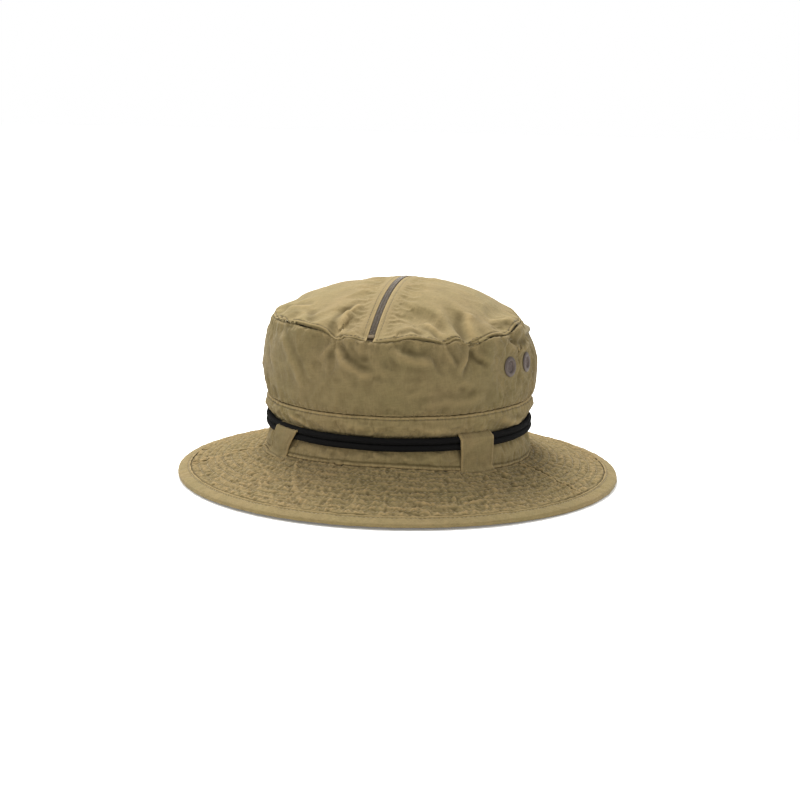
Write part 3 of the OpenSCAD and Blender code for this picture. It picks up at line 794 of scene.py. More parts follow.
# The tips are painted lighter (x1.10) and the side wall darker (x0.87) than the shared twill: painted light on the
# top-facing panels and painted shade on the vertical wall.
M_TIP_LIT = cloth("crown_twill_painted_light", tuple(c * 1.10 for c in CLOTH[:3]) + (1,), 12, wrinkle=0.07)
M_WALL_SHADED = cloth("crown_side_twill_painted_shade", tuple(c * 0.87 for c in CLOTH[:3]) + (1,), -8, wrinkle=0.12)
M_BAND = cloth("crown_band_twill", tuple(c * k for c, k in zip(CLOTH[:3], (1.02, 1.02, 1.03))) + (1,), 4, wrinkle=0.09)
M_BRIM = cloth("brim_twill", tuple(c * k for c, k in zip(CLOTH[:3], (0.985, 0.985, 0.975))) + (1,), 25, wrinkle=0.20, fade=1.6, warm=1.035)
M_BIND = cloth("brim_edge_twill", tuple(c * k for c, k in zip(CLOTH[:3], (1.06, 1.06, 1.05))) + (1,), 45, wrinkle=0.12, fade=1.4, warm=1.02)
M_LOOP = cloth("loop_twill", tuple(c * k for c, k in zip(CLOTH[:3], (1.0, 0.99, 1.0))) + (1,), 0, wrinkle=0.07)
M_INNER = cloth("inner_cotton", (0.170, 0.134, 0.072, 1), 0, pitch=0.5, wrinkle=0.09)
M_TAPE = cloth("zip_tape_weave", (0.150, 0.112, 0.070, 1), 45, pitch=0.7, wrinkle=0.03, fade=0.4)


def thread_material(name, base):
    n = Nodes(name)
    mm = n.mm()
    f = n.noise(mm, 2.2, 3.0)
    ply = n.add("ShaderNodeTexWave", {"Vector": mm, "Scale": 0.9, "Distortion": 1.5, "Detail": 1.0}, bands_direction="DIAGONAL").outputs["Fac"]
    c = n.mix(n.remap(f, 0.3, 0.7, 0.0, 0.6), base, tuple(x * 0.62 for x in base[:3]) + (1,))
    return n.out(Base_Color=c, Roughness=0.62, Normal=n.bump(ply, 0.00005), Specular_IOR_Level=0.35, Sheen_Weight=0.1)


M_THREAD = thread_material("thread", (0.225, 0.170, 0.086, 1))
M_QUILT = thread_material("quilting_thread", (0.32, 0.25, 0.14, 1))
# A darker copy of the thread: painted shade for the stitches sunk in the crown's seams.
M_THREAD_SHADED = thread_material("thread_painted_shade", (0.085, 0.062, 0.032, 1))


def cord_material():
    n = Nodes("cord_braid")
    mm, uv = n.mm(), n.uv()
    fibre = n.add("ShaderNodeTexWave", {"Vector": uv, "Scale": 1.6, "Distortion": 2.0, "Detail": 2.0}, bands_direction="DIAGONAL").outputs["Fac"]
    dust = n.noise(mm, 0.5, 4.0)
    c = n.mix(n.remap(dust, 0.4, 0.75, 0.0, 0.35), (0.0022, 0.0022, 0.0022, 1), (0.0055, 0.0052, 0.0050, 1))
    # Paler on the raised strands; the hollows between strands stay darker as painted shade.
    c = n.mix(n.math("MULTIPLY", n.attr("wear_and_shade"), 0.6, clamp=True), c, (0.0085, 0.0080, 0.0076, 1))
    return n.out(Base_Color=c, Roughness=0.92, Normal=n.bump(fibre, 0.00006), Specular_IOR_Level=0.10)


M_CORD = cord_material()


def plastic_material():
    n = Nodes("black_plastic")
    mm = n.mm()
    grain = n.noise(mm, 3.2, 4.0, 0.6)
    scuff = n.noise(mm, 0.35, 5.0, 0.7, 0.8)
    c = n.mix(n.remap(scuff, 0.55, 0.75, 0.0, 0.5), (0.010, 0.010, 0.010, 1), (0.028, 0.027, 0.026, 1))
    return n.out(Base_Color=c, Roughness=n.remap(scuff, 0.4, 0.7, 0.36, 0.58), Normal=n.bump(grain, 0.00003), Specular_IOR_Level=0.45)


def metal_material(name, base, rough, tint):
    n = Nodes(name)
    mm = n.mm()
    ridge_hollow = n.noise(mm, 0.45, 5.0, 0.65, 0.5)
    fine = n.noise(mm, 4.0, 3.0, 0.6)
    c = n.mix(n.remap(ridge_hollow, 0.45, 0.72, 0.0, 0.8), base, tint)
    return n.out(Base_Color=c, Metallic=0.95, Roughness=n.remap(ridge_hollow, 0.35, 0.7, rough, rough + 0.18),
                 Normal=n.bump(fine, 0.000015))


M_PLASTIC = plastic_material()
M_GUN = metal_material("gunmetal", (0.092, 0.074, 0.066, 1), 0.46, (0.140, 0.112, 0.092, 1))
M_ZIPMETAL = metal_material("antique_brass", (0.22, 0.17, 0.11, 1), 0.32, (0.34, 0.27, 0.18, 1))
M_STEEL = metal_material("spring_steel", (0.55, 0.55, 0.56, 1), 0.22, (0.42, 0.41, 0.40, 1))
M_WIRE = metal_material("screen_wire", (0.17, 0.138, 0.125, 1), 0.5, (0.13, 0.105, 0.095, 1))


def coil_material():
    n = Nodes("zip_coil_nylon")
    mm = n.mm()
    f = n.noise(mm, 0.6, 4.0)
    c = n.mix(n.remap(f, 0.35, 0.7, 0, 1), (0.122, 0.094, 0.064, 1), (0.088, 0.068, 0.046, 1))
    return n.out(Base_Color=c, Roughness=0.46, Specular_IOR_Level=0.4, Normal=n.bump(n.noise(mm, 3.0), 0.00002))


M_COIL = coil_material()


def floor_material():
    n = Nodes("floor_paper")
    mm = n.mm()
    f = n.noise(mm, 0.02, 3.0)
    c = n.mix(n.remap(f, 0.3, 0.7, 0.0, 1.0), (0.90, 0.90, 0.895, 1), (0.885, 0.885, 0.88, 1))
    return n.out(Base_Color=c, Roughness=0.9, Specular_IOR_Level=0.05, Normal=n.bump(n.noise(mm, 0.8, 4.0), 0.00001),
                 Emission_Color=(1, 1, 1, 1), Emission_Strength=0.12)


floor_ring = np.radians(np.arange(96) * 3.75)
floor = make_mesh("floor", np.concatenate([[[0, 0, -0.25]], np.stack([14000 * np.cos(floor_ring), 14000 * np.sin(floor_ring),
                                           np.full(96, -0.25)], -1)]),
                  [np.stack([np.zeros(96, int), 1 + np.arange(96), 1 + (np.arange(96) + 1) % 96], -1)])
floor.data.materials.append(floor_material())
floor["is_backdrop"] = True


def piece(ob, material, body, slot, *nodes):
    if not ob.data.materials:
        ob.data.materials.append(material)
    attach(ob, body)
    if nodes:
        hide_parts(*nodes)
    return ob


# ------------------------------------------------------------------ the cord, its ends and their knots
def refine(p, step, blurs=2):
    p = np.asarray(p, float)
    s = np.concatenate([[0], np.cumsum(np.linalg.norm(np.diff(p, axis=0), axis=1))])
    n = int(round(s[-1] / step))
    at = np.linspace(0, s[-1], n + 1)
    i = np.clip(np.searchsorted(s, at, side="right") - 1, 0, len(p) - 2)
    e = np.concatenate([2 * p[:1] - p[1:2], p, 2 * p[-1:] - p[-2:-1]])
    t = ((at - s[i]) / (s[i + 1] - s[i]))[:, None]
    q = [e[i + k] for k in range(4)]
    out = 0.5 * (2 * q[1] + (q[2] - q[0]) * t + (2 * q[0] - 5 * q[1] + 4 * q[2] - q[3]) * t**2 + (3 * (q[1] - q[2]) + q[3] - q[0]) * t**3)
    return out


def braid(name, pts, radius, sides=28, strands=8, pitch=2.0, relief=0.17, taper=True):
    """A braided cord: two families of strands that pass over and under each other."""
    pts = np.asarray(pts, float)
    s = np.concatenate([[0], np.cumsum(np.linalg.norm(np.diff(pts, axis=0), axis=1))])[:, None]
    k = (np.arange(sides) / sides)[None, :]
    u, v = s / pitch + k * strands, s / pitch - k * strands
    fu, fv = u - np.floor(u) - 0.5, v - np.floor(v) - 0.5
    over = (np.floor(u) + np.floor(v)) % 2 < 1
    h = np.where(over, np.cos(np.pi * fv) ** 0.7 * (0.55 + 0.45 * np.cos(np.pi * fu)), np.cos(np.pi * fu) ** 0.7 * (0.55 + 0.45 * np.cos(np.pi * fv)))
    rad = radius - relief + relief * h
    if taper:
        end = np.minimum(s, s[-1] - s)
        rad = rad * np.sqrt(np.clip(end / (radius * 0.5), 0.05, 1))
    ob = tube(name, pts, rad, sides)
    # Strand height, used by the cord's material: paler on raised strands, painted shade in the hollows between them.
    at = ob.data.attributes.new("wear_and_shade", "FLOAT", "POINT")
    at.data.foreach_set("value", np.concatenate([h.ravel(), [0.5, 0.5]]).astype(np.float32)[:len(ob.data.vertices)])
    return ob


CORD_OFF = -2.8 + CORD_R + 0.6
TURN_R = 8.0
TURN_AT = math.degrees(math.asin(TURN_R / (END_R + CORD_OFF)))
TURN_Y = OC + (END_R + CORD_OFF) * math.cos(math.radians(TURN_AT)) + TURN_R
LOCK_Y = HALF_W + EXTRA_L + 6.2 + 8.6
EXIT_Y = 120.2


def cord_z_at(a):
    return z_cord(a) + 0.16 * ring(a, 22, 5.0, N3)


def cord_path():
    up, down = CORD_STEP, -CORD_STEP

    def turn(sgn):
        b = np.radians(np.linspace(0, 90 - TURN_AT, 14))
        return np.stack([sgn * TURN_R * (1 - np.cos(b)), TURN_Y - TURN_R * np.sin(b), np.full(14, CORD_Z + sgn * CORD_STEP)], -1)
    first = np.array([[0, y, CORD_Z + up] for y in np.linspace(EXIT_Y - 1.0, TURN_Y + 1, 8)])
    last = np.array([[0, y, CORD_Z + down] for y in np.linspace(TURN_Y + 1, EXIT_Y - 1.0, 8)])
    a1 = 90 - TURN_AT - np.linspace(0.5, 360 - TURN_AT - 3.4, 420)
    p1 = on_oval(a1, CORD_OFF, cord_z_at(a1) + up)
    a2 = 90 + 3.4 - np.linspace(0, 6.8, 9)[1:-1]
    p2 = on_oval(a2, CORD_OFF, CORD_Z + up * (1 - 2 * smooth(np.linspace(0, 1, 9)[1:-1])))
    a3 = 90 - 3.4 - np.linspace(0, 360 - TURN_AT - 3.4 - 0.5, 420)
    p3 = on_oval(a3, CORD_OFF, cord_z_at(a3) + down)
    t1, t2 = turn(1), turn(-1)[::-1]
    return np.concatenate([first, t1, p1, p2, p3, t2, last])


cord_pts = refine(cord_path(), 0.30)
cord_pts[2:-2] = 0.25 * cord_pts[1:-3] + 0.5 * cord_pts[2:-2] + 0.25 * cord_pts[3:-1]
hat_cord = braid("cord_turns", cord_pts, 2.24, 28, 8, 2.0)
piece(hat_cord, M_CORD, "hat", "cord", "hat_cord")

LEFT = [[0, 120.2, 40.5], [0.5, 124, 40.1], [1.9, 128, 38.4], [3.9, 131.4, 35.0], [5.9, 133.8, 30.6], [7.5, 135.5, 25.8],
        [8.9, 136.9, 20.8], [10.6, 138.4, 16.2], [12.9, 140.3, 12.6], [15.9, 142.2, 10.4], [19.4, 143.7, 9.5]]
RIGHT = [[0, 120.2, 36.0], [-0.6, 124, 35.4], [-2.1, 127.6, 33.4], [-4.1, 130.7, 29.8], [-5.9, 133, 25.4], [-7.7, 135, 20.8],
         [-9.8, 137.1, 16.6], [-12.4, 139.3, 13.0], [-15.8, 141.3, 10.7], [-19.6, 142.8, 9.8]]


def knot(name, at, heading):
    """A pulled-tight overhand knot, lying flat, with the cord's sealed end standing out of it."""
    t = np.linspace(0, 2 * np.pi, 150)[6:-9]
    s = 1.62
    p = np.stack([s * (2 + np.cos(3 * t / 1)) * np.cos(2 * t), s * (2 + np.cos(3 * t)) * np.sin(2 * t), 1.15 * s * np.sin(3 * t)], -1)
    c, q = math.cos(heading), math.sin(heading)
    p = p @ np.array([[c, q, 0], [-q, c, 0], [0, 0, 1]])
    tip = p[-1] + (p[-1] - p[-3]) / np.linalg.norm(p[-1] - p[-3]) * 3.2 + np.array([c, q, 0]) * 1.5
    p = refine(np.concatenate([p, [tip]]), 0.3)
    return braid(name, p + np.array(at), 1.85, 24, 8, 1.9, 0.15)


for nm, route, at, ex in (("left", LEFT, (22.6, 144.6, 11.1), (0, 0.1202, 0.0405)), ("right", RIGHT, (-22.8, 143.6, 11.3), (0, 0.1202, 0.0360))):
    path = refine(route, 0.3)
    tail = braid("cord_end_" + nm, path, 2.2, 28, 8, 2.0, 0.12, taper=False)
    piece(tail, M_CORD, "hat", "cord", "cord_tail_" + nm)
    d = np.array(route[-1]) - np.array(route[-2])
    kn = piece(knot("cord_stopper_" + nm, at, math.atan2(d[1], d[0])), M_CORD, "hat", "cord", "cord_knot_" + nm)

# ------------------------------------------------------------------ crown panels
COLS = 360
A1 = np.arange(COLS) * 360.0 / COLS


def crowd(n, k=0.55):
    # shares from 0 to 1 that crowd together at both ends
    s = np.linspace(0, 1, n)
    return ((1 - k) * s + k * (0.5 - 0.5 * np.cos(np.pi * s)))[:, None]


t_wall, t_band = crowd(36), crowd(34, 0.4)
g_wall = wall_base(A1[None, :] + 0 * t_wall, t_wall + 0 * A1[None, :])
g_band = band_base(A1[None, :] + 0 * t_band, t_band + 0 * A1[None, :])
g_tipl, g_tipr = tip_base(1), tip_base(-1)

pin_wall = np.zeros(g_wall.shape[:2])
pin_wall[:1] = pin_wall[-1:] = 1
pin_wall = np.maximum(pin_wall, vent_weight(g_wall[..., 0], g_wall[..., 1], g_wall[..., 2], 8.5, 12.5))
pin_band = np.zeros(g_band.shape[:2])
pin_band[:1] = 1
pin_band[g_band[..., 2] > z_low(A1)[None] - 0.4] = 1
near = np.abs(g_band[..., 2] - z_cord(A1)[None])
pin_band = np.maximum(pin_band, 1 - ramp(near, 3.6, 5.0))
pin_tip = []
for g in (g_tipl, g_tipr):
    w = np.zeros(g.shape[:2])
    w[:1] = w[-1:] = 1
    w[:, -1:] = 1
    w = np.maximum(w, 1 - ramp(np.abs(g[..., 0]), 8.0, 15.0))
    pin_tip.append(w)
g_wall, g_band, g_tipl, g_tipr = simulate([
    dict(g=g_wall, wrap=True, pin=pin_wall, shrink=-0.055, pressure=0.04, cap=2.4, bend=0.5, sink=2.0),
    dict(g=g_band, wrap=True, pin=pin_band, shrink=-0.04, pressure=0.12, cap=1.8, bend=0.5),
    dict(g=g_tipl, wrap=False, pin=pin_tip[0], shrink=-0.03, pressure=0.04, cap=2.2, bend=0.8, flip=False, sink=1.8),
    dict(g=g_tipr, wrap=False, pin=pin_tip[1], shrink=-0.03, pressure=0.04, cap=2.2, bend=0.8, flip=True, sink=1.8),
], 22)
def prof(e, pts):
    """Smooth steps through (distance, value) points."""
    e = np.asarray(e, float)
    out = np.full(e.shape, float(pts[0][1]))
    for (x0, v0), (x1, v1) in zip(pts, pts[1:]):
        out = np.where(e >= x0, v0 + (v1 - v0) * smooth((e - x0) / (x1 - x0)), out)
    return out


def stroke(A, V, pts, w, amp, fold=0.6, mm=1.62, ends=5.0):
    """A crease along (angle, height) points: a ridge with a hollow beside it, fading at both ends."""
    a0 = pts[0][0]
    U = adiff(A, a0) * mm
    P = [(adiff(p[0], a0) * mm, p[1]) for p in pts]
    best = np.full(U.shape, 1e9)
    sd = np.zeros(U.shape)
    along_ = np.zeros(U.shape)
    tot = 0.0
    for (x0, y0), (x1, y1) in zip(P, P[1:]):
        L = math.hypot(x1 - x0, y1 - y0)
        tx, ty = (x1 - x0) / L, (y1 - y0) / L
        t = np.clip((U - x0) * tx + (V - y0) * ty, 0, L)
        dx, dy = U - x0 - t * tx, V - y0 - t * ty
        dd = np.hypot(dx, dy)
        m = dd < best
        best = np.where(m, dd, best)
        sd = np.where(m, np.where(tx * dy - ty * dx > 0, dd, -dd), sd)
        along_ = np.where(m, tot + t, along_)
        tot += L
    fade = np.clip(along_ / ends, 0, 1) ** 0.5 * np.clip((tot - along_) / ends, 0, 1) ** 0.8
    g = np.exp(-(best / w) ** 2)
    return amp * fade * ((1 - fold) * g - fold * 1.9 * (sd / w) * np.exp(-(sd / w) ** 2) * (best < 4 * w))


RNG = np.random.default_rng(516)


def random_strokes(n, a_lo, a_hi, v_lo, v_hi, length, w, amp):
    out = []
    for _ in range(n):
        a, v = RNG.uniform(a_lo, a_hi), RNG.uniform(v_lo, v_hi)
        th = RNG.uniform(0, 2 * math.pi)
        bend = RNG.normal(0, 0.35)
        L = RNG.uniform(0.6, 1.3) * length
        pts = [(a, v)]
        for k in range(3):
            a2 = pts[-1][0] + math.cos(th) * L / 3 / 1.62
            v2 = pts[-1][1] + math.sin(th) * L / 3
            pts.append((a2, v2))
            th += bend
        out.append((pts, RNG.uniform(0.75, 1.3) * w, RNG.uniform(0.5, 1.0) * amp * RNG.choice([-1, 1])))
    return out


# High-pass of the relief: above zero on ridges, below zero in hollows. It drives both the paler rubbed ridges and the
# painted shade in the hollows.
def ridge_hollow(r, n, wrap, gain):
    hi = r.copy()
    hi = blur(blur(hi, n, 0, False), n, 1, wrap)
    return np.clip((r - hi) * gain, -1, 1)


def fine(g, scale, noise):
    return noise(g[..., 0] / scale, g[..., 1] / scale, g[..., 2] / scale)


# side wall
g = upsample(upsample(g_wall, 3, 0, False), 3, 1, True)
A = np.broadcast_to(np.arange(g.shape[1]) * 360.0 / g.shape[1], g.shape[:2])
n = grid_normals(g, True)
et, el = edge_dist(g, True), edge_dist(g, False)
Z = g[..., 2]
r_edge = prof(et, [(0, -0.62), (0.7, 0.08), (1.6, 0.30), (5, 0)]) + prof(el, [(0, -0.10), (0.6, 0.34), (2.4, 0.26), (6, 0)])
r = 0
r = r + 0.70 * ring(A, 4.6, 1.0, N3, et / 9) * np.exp(-et / 5.0) * ramp(et, 0, 1.2) + 1.15 * ring(A, 11, 2.0, N4, et / 22) * np.exp(-et / 12) * ramp(et, 0, 2)
r = r + 0.22 * ring(A, 6.5, 9.0, N4, el / 9) * np.exp(-el / 6) * ramp(el, 0, 1.0)
for pts, w, amp in [([(254.5, 104), (256.5, 99), (260, 93), (267, 87.5), (273, 84)], 2.6, 1.5),
                    ([(254.5, 104), (251, 97), (249, 88)], 2.2, 0.8),
                    ([(303.8, 103), (305, 97), (307.5, 90)], 1.8, 0.9),
                    ([(316, 101), (314.5, 96), (311, 89), (309, 83)], 2.2, 1.2),
                    ([(316, 101), (319, 94), (324, 88)], 2.0, -0.8),
                    ([(280, 103), (284, 98.5), (290, 96), (298, 95.5)], 3.0, 1.3),
                    ([(262, 104), (266, 98), (274, 94)], 2.4, -0.8),
                    ([(333, 104), (338, 99), (346, 97), (353, 99)], 2.4, 0.9),
                    ([(224, 108), (229, 98), (236, 86), (240, 72)], 3.2, 0.8),
                    ([(292, 66), (302, 69), (314, 68), (322, 71)], 2.4, 0.6),
                    ([(206, 104), (210, 92), (217, 80)], 3.0, -0.6),
                    ([(40, 104), (37, 96), (33, 86)], 2.4, 1.1), ([(111, 103.5), (113, 96), (118, 88)], 2.4, -1.1),
                    ([(148, 106), (145, 96), (139, 88)], 2.6, 0.8)]:
    r = r + stroke(A, Z, pts, w * 1.45, amp * 2.15, ends=8.0)
for pts, w, amp in random_strokes(26, 0, 360, 64, 102, 24, 3.6, 0.75):
    r = r + stroke(A, Z, pts, w, amp)
warp = g + 5.0 * N2(g[..., 0] / 30, g[..., 1] / 30, g[..., 2] / 30)[..., None] * np.array([0.6, 0.6, 1.0])
r = r + 0.40 * fine(g, 15, N1) + 0.18 * fine(g, 6.0, N2) + 0.06 * fine(g, 2.6, N5) + 1.5 * (0.30 - np.abs(fine(warp, 21, N3))) + 0.5 * (0.30 - np.abs(fine(warp, 9.5, N4)))
r = r_edge + r * ramp(et, 0.2, 2.6) * ramp(el, 0.2, 2.6)
vw = np.zeros(r.shape)
for c_, n_, up_, sv_, a_ in VENT_FRAMES:
    dist = np.linalg.norm(g - c_, axis=-1)
    vw = np.maximum(vw, 1 - ramp(dist, 7.2, 10.5))
    r = r + 0.22 * ramp(dist, 6.6, 7.6) * (1 - ramp(dist, 8.2, 10.5)) * (1 + 0.5 * np.cos(11 * np.arctan2((g - c_) @ up_, (g - c_) @ sv_)))
r = r * (1 - vw)
g2 = g + n * r[..., None]
n2 = grid_normals(g2, True)
holes = np.zeros((g.shape[0] - 1, g.shape[1]), bool)
mid = 0.25 * (g2[:-1] + g2[1:] + np.roll(g2, -1, 1)[:-1] + np.roll(g2, -1, 1)[1:])
for c_, n_, up_, sv_, a_ in VENT_FRAMES:
    holes |= np.linalg.norm(mid - c_, axis=-1) < HOLE_R + 0.75
# Painted shade: the undersides of big folds, small hollows and the seam at the top edge are darkened; the rolled ridges
# at both seams are paler where they rub.
fold = ridge_hollow(r, 90, True, 0.72) * (1 - vw)
wear_and_shade = ridge_hollow(r, 8, True, 1.8) * 0.5 + np.where(fold > 0, 0.35 * fold, fold) + 0.75 * np.exp(-((el - 0.5) / 0.55) ** 2) + 0.25 * np.exp(-((et - 1.7) / 0.8) ** 2) - 0.75 * np.exp(-(et / 0.5) ** 2)
uvg = np.stack([A * 1.66e-3, Z * 1e-3], -1)
# the seam allowance turned in under the top
lip = np.stack([on_oval(A[0], D_TOP(A[0]) - k_, Z_TOP(A[0]) - dz_) for k_, dz_ in ((1.2, 0.9), (2.0, 2.0), (2.9, 3.2))])
g2 = np.concatenate([g2, lip])
n2 = grid_normals(g2, True)
holes = np.concatenate([holes, np.zeros((3, g.shape[1]), bool)])
# Painted shade: the turned-in lip under the top is a little darker.
wear_and_shade = np.concatenate([wear_and_shade, np.full((3, g.shape[1]), -0.15)])
uvg = np.concatenate([uvg, uvg[-3:]])
wall = shell("crown_wall", g2, n2, 1.0, True, uvg, {"wear_and_shade": wear_and_shade}, inner_step=1, holes=holes)
piece(wall, M_WALL_SHADED, "hat", "crown_cloth", "crown_side_wall")

# lower band
g = upsample(upsample(g_band, 3, 0, False), 3, 1, True)
A = np.broadcast_to(np.arange(g.shape[1]) * 360.0 / g.shape[1], g.shape[:2])
n = grid_normals(g, True)
Z = g[..., 2]
zl, zb, zc = z_low(A), z_brim(A), z_cord(A)
up = zl - Z
r = prof(up, [(-2, -0.1), (-0.2, -0.25), (0.35, -0.35), (0.9, 0.36), (1.9, 0.40), (2.5, 0.02), (3.2, 0.22), (5.5, 0)])
r = r + 0.32 * ring(A, 3.9, 3.0, N3, up / 7) * np.exp(-np.abs(up - 2.5) / 3.0) * (up > 0.2)
bot = Z - zb
r = r + prof(bot, [(-1, 0.1), (0.2, 0.75), (1.1, 0.95), (1.9, 0.62), (2.7, 0.1), (3.4, 0.18), (6, 0)])
r = r + 0.26 * ring(A, 4.2, 5.0, N4, bot / 8) * np.exp(-np.abs(bot - 1.6) / 3.5)
dc = Z - zc
r = r + (0.55 * ring(A, 9, 8.0, N1) + 0.35 * ring(A, 5, 6.0, N2)) * np.exp(-((np.abs(dc) - 8.0) / 3.4) ** 2)
for pts, w, amp in [([(228, 54), (234, 50), (242, 47)], 2.0, 0.7), ([(262, 54), (270, 51), (280, 50)], 2.4, 0.5),
                    ([(288, 53), (297, 50), (308, 49)], 2.2, 0.6), ([(331, 53), (338, 49), (348, 46)], 2.2, 0.8),
                    ([(246, 31), (254, 28), (262, 26)], 1.8, 0.5), ([(280, 30), (290, 27), (300, 26)], 1.8, -0.5)]:
    r = r + stroke(A, Z, pts, w * 1.4, amp * 1.9)
for pts, w, amp in random_strokes(26, 0, 360, 24, 54, 14, 2.6, 0.75):
    r = r + stroke(A, Z, pts, w, amp) * ramp(np.abs(dc), 4.5, 6.5)
r = r + (0.25 * fine(g, 12, N1) + 1.1 * (0.30 - np.abs(fine(g, 14, N3))) * ramp(up, 3, 7) * ramp(bot, 3, 7)) * ramp(np.abs(dc), 4, 7) + 0.12 * fine(g, 5, N2) + 0.05 * fine(g, 2.2, N5)
g2 = g + n * r[..., None]
n2 = grid_normals(g2, True)
# Painted shade: darker in hollows, in the seam under the wall, in the groove above the bottom ridge and all round the
# cord; the seam ridges are paler where they rub.
wear_and_shade = ridge_hollow(r, 8, True, 1.8) * 0.5 + ridge_hollow(r, 70, True, 0.55) + 0.6 * np.exp(-((up - 1.3) / 0.7) ** 2) + 0.8 * np.exp(-((bot - 0.8) / 0.7) ** 2) \
    - 1.1 * np.exp(-((up - 0.1) / 0.55) ** 2) - 0.6 * np.exp(-((up - 2.5) / 0.4) ** 2) - 0.95 * np.exp(-((bot - 2.6) / 0.7) ** 2) - 0.5 * np.exp(-(dc / 5.5) ** 4)
uvg = np.stack([A * 1.66e-3, Z * 1e-3], -1)
band = shell("crown_band", g2, n2, 1.0, True, uvg, {"wear_and_shade": wear_and_shade}, inner_step=5)
piece(band, M_BAND, "hat", "crown_cloth", "crown_lower_band")

# the two halves of the top
tips = {}
for side, g0 in ((1, g_tipl), (-1, g_tipr)):
    g = upsample(upsample(g0, 3, 0, False), 3, 1, False)
    n = grid_normals(g, False)
    if np.mean(n[..., 2]) < 0:
        n = -n
    A, d = to_oval(g[..., 0], g[..., 1])
    e = np.maximum((D_TOP(A) - d) * 1.2, 0)
    ax = np.abs(g[..., 0])
    zx = ax - ZIP_X
    near_zip = 1 - ramp(ax, 6, 12)
    r_edge = prof(e, [(0, -0.50), (0.6, 0.26), (1.3, 0.30), (1.9, -0.04), (2.7, 0.24), (6, 0)])
    r = 0
    r = r + 0.55 * ring(A, 4.2, 7.0, N4, e / 9) * np.exp(-np.abs(e - 1.9) / 4.5) + 0.95 * ring(A, 10, 3.0, N2, e / 24) * np.exp(-e / 13) * ramp(e, 0, 3)
    zp = prof(zx, [(0, -0.22), (0.35, 0.05), (1.5, 0.05), (2.3, 0.30), (2.75, -0.06), (3.3, 0.30), (7.5, 0)])
    pk = 0.07 * N3(g[..., 1] / 3.4, 3.3 + side, 0.5) * np.exp(-np.abs(zx - 3.0) / 2.2) * ramp(zx, 0.8, 1.8)
    for pts, w, amp in [([(254.5, 0.5), (252.5, 7), (250, 16), (249, 28), (252, 40)], 3.0, 1.5), ([(303.8, 0.5), (302, 7), (299, 15), (296, 24)], 2.4, 0.9),
                        ([(316, 0.5), (317.5, 8), (320, 18), (325, 28)], 3.0, 1.3), ([(345, 2), (339, 9), (332, 16)], 3.0, 0.8),
                        ([(281, 4), (287, 9), (296, 12)], 2.4, -0.6), ([(238, 3), (231, 12), (224, 20)], 3.4, -0.8),
                        ([(40, 0.5), (42, 8), (46, 18), (49, 28)], 2.8, 1.3), ([(111, 0.5), (108, 8), (103, 18)], 2.6, 1.1),
                        ([(148, 1), (151, 10), (156, 20)], 2.8, -0.9), ([(206, 5), (213, 15), (222, 26)], 3.5, 0.8)]:
        r = r + stroke(A, e, pts, w * 1.45, amp * 2.3, mm=1.35, ends=7.0) * (1 - near_zip)
    warp = g + 6.0 * N2(g[..., 0] / 34, g[..., 1] / 34, g[..., 2] / 34)[..., None] * np.array([1.0, 0.6, 0.0])
    r = r + (0.40 * fine(g, 19, N1) + 0.16 * fine(g, 7, N2) + 1.3 * (0.30 - np.abs(fine(warp, 26, N3)))) * (1 - 0.8 * near_zip) + 0.05 * fine(g, 2.6, N5)
    r = (r_edge + np.maximum(r, -0.45 - 0.16 * e) * ramp(e, 0.2, 2.8)) * ramp(zx, 0.5, 3.5) + (zp + pk) * ramp(e, 0.4, 2.4)
    r = np.where(ax < 3.7, np.minimum(r, 0.05), r)
    g2 = g + n * r[..., None]
    n2 = grid_normals(g2, False)
    if np.mean(n2[..., 2]) < 0:
        n2 = -n2
    # Painted shade: fold undersides, the seam at the outer edge, the stitch dimples along it and the groove beside the
    # zip are darkened; the zip's lips and the seam ridge are paler where they rub.
    fold = ridge_hollow(r, 90, False, 0.7) * (1 - near_zip)
    wear_and_shade = ridge_hollow(r, 8, False, 1.6) * 0.4 + np.where(fold > 0, 0.35 * fold, fold) + 0.95 * np.exp(-((zx - 0.25) / 0.5) ** 2) + 0.35 * np.exp(-((e - 0.95) / 0.5) ** 2) \
        - 0.7 * np.exp(-(e / 0.45) ** 2) - 1.0 * np.exp(-((e - 1.9) / 0.42) ** 2) * (0.7 + 0.3 * np.cos(A * 1.66 * 2 * np.pi / 2.9)) * ramp(ax, 3, 6) - 0.3 * np.exp(-((zx - 2.75) / 0.3) ** 2)
    ob = shell("crown_top_left" if side > 0 else "crown_top_right", g2, n2, 1.0, False, g2[..., :2] * 1e-3, {"wear_and_shade": wear_and_shade}, inner_step=5)
    piece(ob, M_TIP_LIT, "hat", "crown_cloth", "crown_tip_left" if side > 0 else "crown_tip_right")
    tips[side] = ob

# ------------------------------------------------------------------ brim
SEAM_A = (343.0, 197.0)
WRIGGLE = [(0, 1.5), (10, 2.8), (16.3, 2.2), (20.5, 1.5), (25, -0.4), (29.5, -0.8), (33.6, -2.1), (39.5, -3.6), (43, -3.4), (49.4, -4.2), (56, -4.6), (63, -4.8)]


def brim_surface(d):
    t = np.clip((d - 0.5) / (BRIM_W - 0.5), 0, 1)
    return np.where(d <= 0.5, BRIM_RISE, BRIM_EDGE + (BRIM_RISE - BRIM_EDGE) * np.power(1 - t, 1.1))


def brim_z_at(a, d):
    lean = (z_brim(a) - BRIM_RISE) * (1 - np.clip(d / BRIM_W, 0, 1)) ** 1.3
    wave = 0.55 * ring(a, 60, 4.0, N1) * np.sin(np.pi * np.clip(d / 58, 0, 1)) + 0.3 * ring(a, 26, 6.0, N2, d / 30) * np.sin(np.pi * np.clip(d / 58, 0, 1))
    return brim_surface(d) + lean + wave


